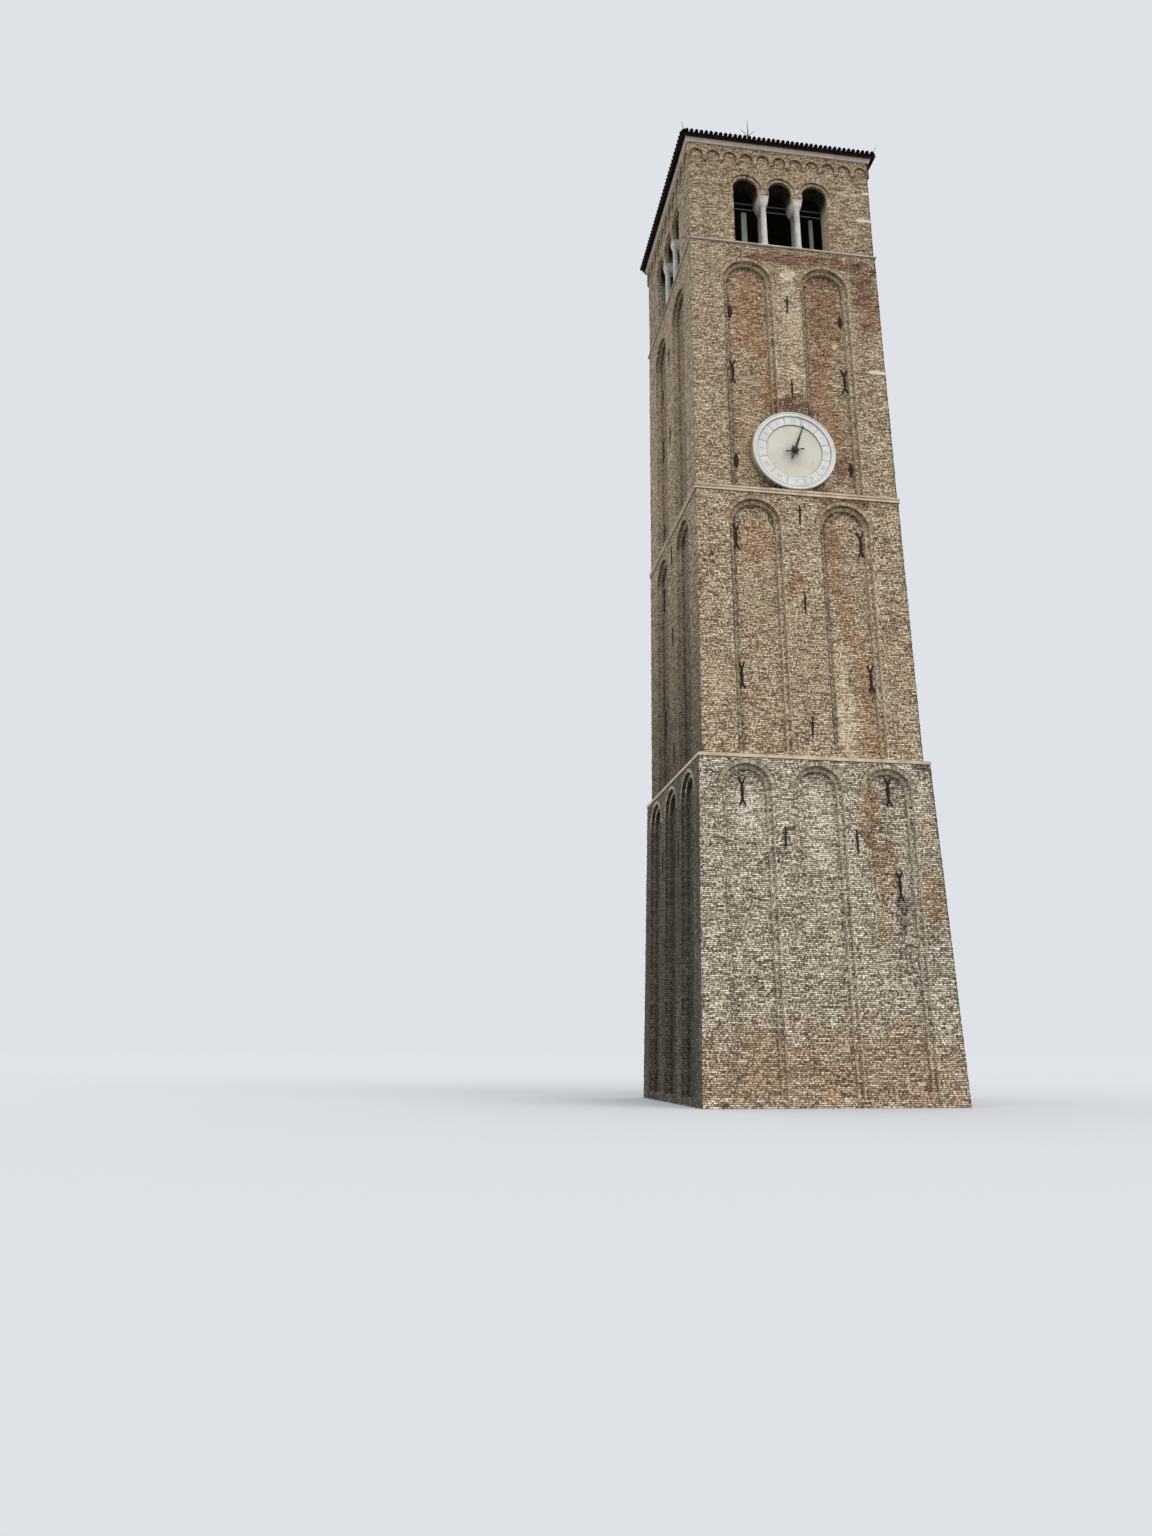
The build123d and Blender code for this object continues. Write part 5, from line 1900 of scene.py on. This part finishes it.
@dataclass
class Clock:
    """The round clock: moulded marble rim, twelve hour stones with cut numerals, plaster disc and the hand.

    The rim's steps are distances inward from its radius and back from its front. The stops of the hand's arms are the
    distance from the spindle, the half width and the half thickness. The hub is a profile of radius and height.
    """

    centre: Vector = field(default_factory=lambda: Vector((CLOCK_ACROSS, -3.58, CLOCK_HEIGHT)))
    radius: float = 1.495
    ring_outer: float = 1.312
    ring_inner: float = 1.02
    seat: float = -0.27
    ring_front: float = 0.065
    rim_front: float = 0.11
    joint: float = 0.02
    hand_back: float = 0.11
    hand_angle: float = 19.5
    arm_middle: float = 0.014
    numerals: tuple = ("XII", "I", "II", "III", "IIII", "V", "VI", "VII", "VIII", "IX", "X", "XI")
    rim_steps: tuple = ((0.012, 0.085), (0.0, 0.07), (0.0, 0.03), (0.006, 0.012), (0.018, 0.002), (0.034, 0.0),
                        (0.05, 0.006), (0.058, 0.018), (0.07, 0.022), (0.098, 0.02), (0.11, 0.014), (0.118, 0.006),
                        (0.13, 0.001), (0.148, 0.003), (0.16, 0.014), (0.165, 0.03), (0.165, 0.085))
    drum_inward: tuple = (0.022, 0.16)
    drum_back: float = 0.08
    pointer: tuple = ((0.04, 0.05, 0.012), (0.2, 0.046, 0.012), (0.42, 0.036, 0.012), (0.47, 0.044, 0.014),
                      (0.52, 0.033, 0.012), (0.9, 0.019, 0.011), (0.955, 0.018, 0.011), (0.962, 0.036, 0.014),
                      (0.985, 0.042, 0.016), (1.008, 0.034, 0.014), (1.016, 0.014, 0.01), (1.027, 0.006, 0.006))
    tail: tuple = ((0.04, 0.026, 0.012), (0.2, 0.022, 0.012), (0.34, 0.026, 0.012), (0.4, 0.012, 0.01))
    cross_arm: tuple = ((0.04, 0.02, 0.012), (0.16, 0.017, 0.012), (0.27, 0.028, 0.012), (0.33, 0.026, 0.012),
                        (0.36, 0.008, 0.008))
    stub: tuple = ((0.04, 0.022, 0.012), (0.14, 0.022, 0.012), (0.19, 0.02, 0.012), (0.215, 0.008, 0.008))
    hub: tuple = ((0.031, 0.0), (0.12, 0.0), (0.135, 0.01), (0.135, 0.03), (0.122, 0.036), (0.11, 0.032),
                  (0.098, 0.036), (0.09, 0.048), (0.074, 0.052), (0.066, 0.046), (0.056, 0.05), (0.05, 0.06),
                  (0.031, 0.06))

    def face(self) -> Matrix:
        """Returns the clock's frame: across, up and out of the wall, from its centre."""
        axes = Matrix(((1, 0, 0), (0, 0, -1), (0, 1, 0))).to_4x4()
        return Matrix.Translation(self.centre) @ axes

    def rim(self, marble: Material, bricks: Material) -> None:
        """Turns the moulded rim, and the drum of bricks that fills the recess behind it.

        Args:
            marble: the rim's finish.
            bricks: the drum's finish.
        """
        shapes = Shapes()
        shapes.turned([(self.radius - inward, self.rim_front - back) for inward, back in self.rim_steps],
                      self.face(), 128)
        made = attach(shapes.piece("moulded_rim", marble), TOWER)
        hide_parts("clock_rim")
        drum = Shapes()
        outer, inner = (self.radius - inward for inward in self.drum_inward)
        front = self.rim_front - self.drum_back
        drum.turned(((outer, self.seat), (outer, front), (inner, front), (inner, self.seat)), self.face(), 96)
        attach(drum.piece("clock_drum_bricks", bricks), TOWER)

    def stones(self, marble: Material) -> None:
        """Cuts the twelve hour stones, each joint halfway between two hours.

        Args:
            marble: their finish.
        """
        shapes = Shapes()
        steps, cut = 8, 0.006
        for hour in range(12):
            first = math.radians(90 - 15 - 30 * hour)
            inner_gap, outer_gap = self.joint / 2 / self.ring_inner, self.joint / 2 / self.ring_outer
            rings = []
            for k in range(steps + 1):
                t = k / steps
                end = cut if k in (0, steps) else 0.0
                ring = []
                for r, h in ((self.ring_inner, self.seat), (self.ring_inner, self.ring_front - cut - end),
                             (self.ring_inner + cut, self.ring_front - end),
                             (self.ring_outer - cut, self.ring_front - end),
                             (self.ring_outer, self.ring_front - cut - end), (self.ring_outer, self.seat)):
                    gap = inner_gap if r < 1.2 else outer_gap
                    angle = first + gap + t * (math.radians(30) - 2 * gap)
                    ring.append(self.face() @ Vector((r * math.cos(angle), r * math.sin(angle), h)))
                rings.append(ring)
            shapes.tube(rings)
        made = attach(shapes.piece("hour_stones", marble), TOWER)
        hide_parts("clock_hour_stones")

    def marks(self, grey: Material) -> None:
        """Cuts the faint Roman numerals, as thin inlaid strokes, fills the joints with mortar, and lays two dark rings
        of painted shade in the gaps at the stone ring's edges.

        Args:
            grey: the finish of strokes, mortar and the rings of painted shade.
        """
        shapes = Shapes()
        high, stroke, pitch = 0.16, 0.009, 0.045
        middle = (self.ring_inner + self.ring_outer) / 2
        for hour, word in enumerate(self.numerals):
            turn = self.face() @ Matrix.Rotation(-math.radians(30 * hour), 4, "Z") @ Matrix.Translation((0, middle, 0))
            widths = {"I": pitch, "V": pitch * 2.2, "X": pitch * 2.2}
            left = -sum(widths[letter] for letter in word) / 2
            for letter in word:
                centre = left + widths[letter] / 2
                lean = pitch * 0.75
                legs = {"I": ((0, 0),), "V": ((-lean, 0), (lean, 0)), "X": ((-lean, lean), (lean, -lean))}[letter]
                for top, foot in legs:
                    corners = ((centre + foot - stroke / 2, -high / 2), (centre + foot + stroke / 2, -high / 2),
                               (centre + top + stroke / 2, high / 2), (centre + top - stroke / 2, high / 2))
                    shapes.plate(corners, turn, self.ring_front - 0.004, self.ring_front + 0.0015)
                left += widths[letter]
        shapes.turned(((self.ring_inner + 0.01, 0.0), (self.ring_inner + 0.01, self.ring_front - 0.012),
                       (self.ring_outer - 0.01, self.ring_front - 0.012), (self.ring_outer - 0.01, 0.0)),
                      self.face(), 96)
        # painted shade: dark rings in the gaps between the stones and the disc, and between the stones and the rim
        for low, high, front in ((self.ring_inner - 0.02, self.ring_inner + 0.004, 0.034),
                                 (self.ring_outer - 0.004, self.ring_outer + 0.03, self.ring_front - 0.02)):
            shapes.turned(((low, 0.0), (low, front), (high, front), (high, 0.0)), self.face(), 96)
        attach(shapes.piece("hour_numerals", grey, False), TOWER)

    def hand(self, iron: Material) -> None:
        """Forges the hand, with its ball, tail, cross arms, stubs and ringed hub.

        Args:
            iron: its finish.
        """
        place = self.face() @ Matrix.Translation((0, 0, self.hand_back)) @ Matrix.Rotation(
            -math.radians(self.hand_angle), 4, "Z")
        shapes = Shapes()
        for angle, stops in ((0, self.pointer), (180, self.tail), (123, self.cross_arm), (-57, self.cross_arm),
                             (45, self.stub), (225, self.stub)):
            turn = place @ Matrix.Rotation(math.radians(angle), 4, "Z")
            shapes.bar([turn @ Vector((0, reach, self.arm_middle)) for reach, _, _ in stops],
                       [(wide, thick) for _, wide, thick in stops], Vector((0, -1, 0)))
        shapes.turned(self.hub, place, 40)
        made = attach(shapes.piece("forged_hand", iron), HAND)
        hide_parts("clock_hand")

    def build(self, shop: Workshop) -> None:
        """Builds and dresses the clock.

        Args:
            shop: the setter, the patterns and the shared finishes.
        """
        marble = WeatheredStone("dial_marble", "dededa", "d2d2cd", "b8b8b2", cloud=1.1, grain=16.0, streak=0.12,
                                speckle=0.08, roughness=0.55).material()
        # the plaster carries the painted shadow of the hand's hub
        plaster = WeatheredStone("dial_plaster", "d3cfc2", "cac5b7", "bdb7a8", cloud=0.8, grain=12.0, streak=0.1,
                                 roughness=0.7, relief=0.001, shadow_spot=(-0.1, 21.6, 0.55)).material()
        grey = WeatheredStone("cut_numerals", "8c8b86", "7d7c77", "64635e", cloud=2.0, grain=20.0,
                              streak=0.0).material()
        self.rim(marble, shop.walling[UPPER])
        self.stones(marble)
        self.marks(grey)
        dress(plaster, ("clock_disc",))
        dress(shop.black_iron, ("clock_spindle",))
        self.hand(shop.black_iron)
        log.info("clock: rim, stones, numerals and hand built")


@dataclass
class Anchors:
    """The iron wall anchors: forked bars, slim bars with a short cross, and pointed plates.

    Each place is the stage, the distance from the middle and the height. Each size of a bar is a half width and a half
    thickness.
    """

    forked: tuple = ((BASE, -2.42, 9.5), (BASE, 2.43, 9.65), (BASE, 2.56, 6.6), (MIDDLE, -2.21, 18.43),
                     (MIDDLE, 2.21, 18.43), (MIDDLE, -2.21, 13.45), (MIDDLE, 2.21, 13.55), (UPPER, -2.08, 24.9),
                     (UPPER, 2.08, 24.9))
    bars: tuple = ((BASE, -1.17, 8.0), (BASE, 1.165, 7.95), (MIDDLE, 0, 19.3), (MIDDLE, 0, 16.05),
                   (MIDDLE, 0, 11.7), (UPPER, 0, 27.75), (UPPER, 0, 24.25))
    plates: tuple = ((UPPER, -2.08, 27.4), (UPPER, 2.08, 27.4), (UPPER, -2.08, 21.35), (UPPER, 2.08, 21.35))
    fork_bar: tuple = ((0.034, 0.018), (0.042, 0.02), (0.056, 0.026), (0.042, 0.02), (0.034, 0.018))
    tine: tuple = ((0.03, 0.018), (0.034, 0.018), (0.03, 0.016), (0.018, 0.01))
    slim_bar: tuple = ((0.022, 0.012), (0.036, 0.018), (0.018, 0.012))
    cross_bar: tuple = ((0.014, 0.01), (0.022, 0.014), (0.014, 0.01))

    def fork(self, shapes: Shapes, place: Matrix, rng: random.Random) -> None:
        """Adds a bar that swells at its middle and splits into two curved arms at each end.

        Args:
            shapes: takes the bars.
            place: the anchor's place and directions on the face.
            rng: seeded random numbers.
        """
        out = place.to_3x3() @ Vector((0, 0, 1))

        def run(points: Sequence[tuple[float, float]], sizes: Sequence[tuple[float, float]]) -> None:
            """Sweeps one bar through points on the face."""
            shapes.bar([place @ Vector((px, py, 0.014)) for px, py in points], sizes, out)

        bow = rng.uniform(-0.02, 0.02)
        run(((0, -0.28), (bow, -0.15), (bow, 0.0), (bow, 0.15), (0, 0.27)), self.fork_bar)
        for sign in (-1, 1):
            wide = rng.uniform(0.105, 0.125)
            run(((0, 0.22), (sign * 0.03, 0.3), (sign * wide * 0.62, 0.39), (sign * wide, 0.49)), self.tine)
            run(((0, -0.23), (sign * 0.035, -0.32), (sign * wide * 0.6, -0.39), (sign * wide * 0.9, -0.47)), self.tine)

    def slim(self, shapes: Shapes, place: Matrix, rng: random.Random) -> None:
        """Adds a slim bar that swells at its middle, with a short cross through it.

        Args:
            shapes: takes the bars.
            place: the anchor's place and directions on the face.
            rng: seeded random numbers.
        """
        out = place.to_3x3() @ Vector((0, 0, 1))
        lean = rng.uniform(-0.02, 0.02)
        shapes.bar([place @ Vector((px, py, 0.012)) for px, py in ((lean, -0.36), (0, 0.0), (-lean, 0.38))],
                   self.slim_bar, out)
        shapes.bar([place @ Vector((px, 0.16, 0.014)) for px in (-0.085, 0.0, 0.085)], self.cross_bar, out)

    def leaf(self, shapes: Shapes, place: Matrix) -> None:
        """Adds a pointed plate with a ridge down its middle.

        Args:
            shapes: takes the plate.
            place: its place and directions on the face.
        """
        rows = []
        for k in range(9):
            t = k / 8 * 2 - 1
            wide = 0.085 * (1 - t * t) + 0.004
            y = t * 0.3
            rows.append([place @ Vector(p) for p in ((-wide, y, 0.0), (-wide, y, 0.016),
                                                     (0, y, 0.016 + 0.014 * (1 - t * t)), (wide, y, 0.016),
                                                     (wide, y, 0.0))])
        shapes.tube(rows)

    def build(self, shop: Workshop) -> None:
        """Forges all anchors on all four sides.

        Args:
            shop: the setter, the patterns and the shared finishes.
        """
        shapes, rng = Shapes(), random.Random(61)
        for side in Side:
            for level, across, height in self.forked:
                self.fork(shapes, level.on_face(side, across, height, -2 * level.order_depth), rng)
            for level, across, height in self.bars:
                self.slim(shapes, level.on_face(side, across, height), rng)
            for level, across, height in self.plates:
                self.leaf(shapes, level.on_face(side, across, height, -2 * level.order_depth))
        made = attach(shapes.piece("forged_anchors", shop.old_iron), TOWER)
        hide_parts("wall_anchors")
        log.info("forged_anchors: %d on each side", len(self.forked) + len(self.bars) + len(self.plates))


@dataclass
class Studio:
    """Pale floor and background, soft light from above and the camera where the photograph was taken."""

    eye: tuple = (-12.33838, -35.17177, 1.55)
    pitch: float = 0.26037
    roll: float = 0.00226
    yaw: float = 0.14596
    lens: float = 25.05
    ground_half: float = 900.0
    backdrop: str = "dfe3e8"
    floor_seen: str = "b4b6b9"
    floor_bounce: float = 0.3
    zenith: float = 1.6
    horizon: float = 0.8
    sun: float = 1.4
    sun_angle: float = 50.0
    sun_way: tuple = (0.35, -0.75, 1.0)
    sensor: float = 36.0
    seen_range: tuple = (0.1, 3000.0)

    def floor(self) -> None:
        """Lays the floor, pale to the eye and darker in the light it throws back."""
        bm = bmesh.new()
        h = self.ground_half
        bm.faces.new([bm.verts.new(p) for p in ((-h, -h, 0), (h, -h, 0), (h, h, 0), (-h, h, 0))])
        mesh = bpy.data.meshes.new("floor")
        bm.to_mesh(mesh)
        bm.free()
        g = Graph("studio_floor")
        seen = self.rays(g)
        dull = (self.floor_bounce,) * 3 + (1.0,)
        make_object("floor", mesh, g.done(g.mix(seen, dull, paint(self.floor_seen)), 1.0, 0.0))

    def rays(self, nodes: Nodes) -> NodeSocket:
        """Returns 1 for rays that see the background: from the camera, in gloss and through glass.

        Args:
            nodes: the tree that needs it.

        Returns:
            The output socket, 1 or 0.
        """
        path = nodes.node("ShaderNodeLightPath").outputs
        first = nodes.node("ShaderNodeMath", {0: path["Is Camera Ray"], 1: path["Is Glossy Ray"]},
                           operation="MAXIMUM").outputs[0]
        return nodes.node("ShaderNodeMath", {0: first, 1: path["Is Transmission Ray"]},
                          operation="MAXIMUM").outputs[0]

    def sky(self) -> None:
        """Makes the soft overcast light, and the pale background that the camera sees."""
        world = bpy.data.worlds.new("soft_sky")
        world.use_nodes = True
        nodes = Nodes(world.node_tree)
        nodes.tree.nodes.clear()
        way = nodes.node("ShaderNodeTexCoord").outputs["Generated"]
        up = nodes.node("ShaderNodeSeparateXYZ", {0: way}).outputs[2]
        level = nodes.node("ShaderNodeMapRange", {"Value": up, "To Min": self.horizon, "To Max": self.zenith})
        soft = nodes.node("ShaderNodeBackground", {"Color": (0.97, 0.985, 1.0, 1.0),
                                                   "Strength": level.outputs["Result"]})
        plain = nodes.node("ShaderNodeBackground", {"Color": paint(self.backdrop), "Strength": 1.0})
        both = nodes.node("ShaderNodeMixShader", {0: self.rays(nodes), 1: soft.outputs[0], 2: plain.outputs[0]})
        nodes.node("ShaderNodeOutputWorld", {"Surface": both.outputs[0]})
        bpy.context.scene.world = world

    def lamp(self) -> None:
        """Adds the wide soft sun."""
        data = bpy.data.lights.new("soft_sun", "SUN")
        data.energy, data.angle, data.color = self.sun, math.radians(self.sun_angle), (1.0, 0.985, 0.96)
        made = bpy.data.objects.new("soft_sun", data)
        made.rotation_euler = Vector(self.sun_way).to_track_quat("Z", "Y").to_euler()
        bpy.context.scene.collection.objects.link(made)

    def camera(self) -> None:
        """Places the camera by its eye point and its three turns."""
        ahead = Vector((math.sin(self.yaw), math.cos(self.yaw), 0))
        right = Vector((math.cos(self.yaw), -math.sin(self.yaw), 0))
        up = Vector((0, 0, 1))
        forward = ahead * math.cos(self.pitch) + up * math.sin(self.pitch)
        over = up * math.cos(self.pitch) - ahead * math.sin(self.pitch)
        across = right * math.cos(self.roll) + over * math.sin(self.roll)
        above = over * math.cos(self.roll) - right * math.sin(self.roll)
        data = bpy.data.cameras.new("camera")
        data.sensor_width, data.lens = self.sensor, self.lens
        data.clip_start, data.clip_end = self.seen_range
        made = bpy.data.objects.new("camera", data)
        axes = Matrix((across, above, -forward)).transposed().to_4x4()
        made.matrix_world = Matrix.Translation(self.eye) @ axes
        bpy.context.scene.collection.objects.link(made)
        bpy.context.scene.camera = made

    def build(self) -> None:
        """Builds floor, sky, sun and camera."""
        bpy.context.scene.view_settings.view_transform = "Standard"
        self.camera()
        self.floor()
        self.sky()
        self.lamp()


def main() -> None:
    """Builds the sub-assemblies in order and reports each."""
    logging.basicConfig(level=logging.INFO, format="%(message)s")
    Studio().build()
    shop = Workshop()
    for assembly in (Walls(), ArchRings(), Courses(), BelfryFittings(), Roof(), LightningRod(), Clock(), Anchors()):
        assembly.build(shop)
        log.info("%s done", type(assembly).__name__)
    shop.patterns.clear()


if __name__ == "__main__":
    main()
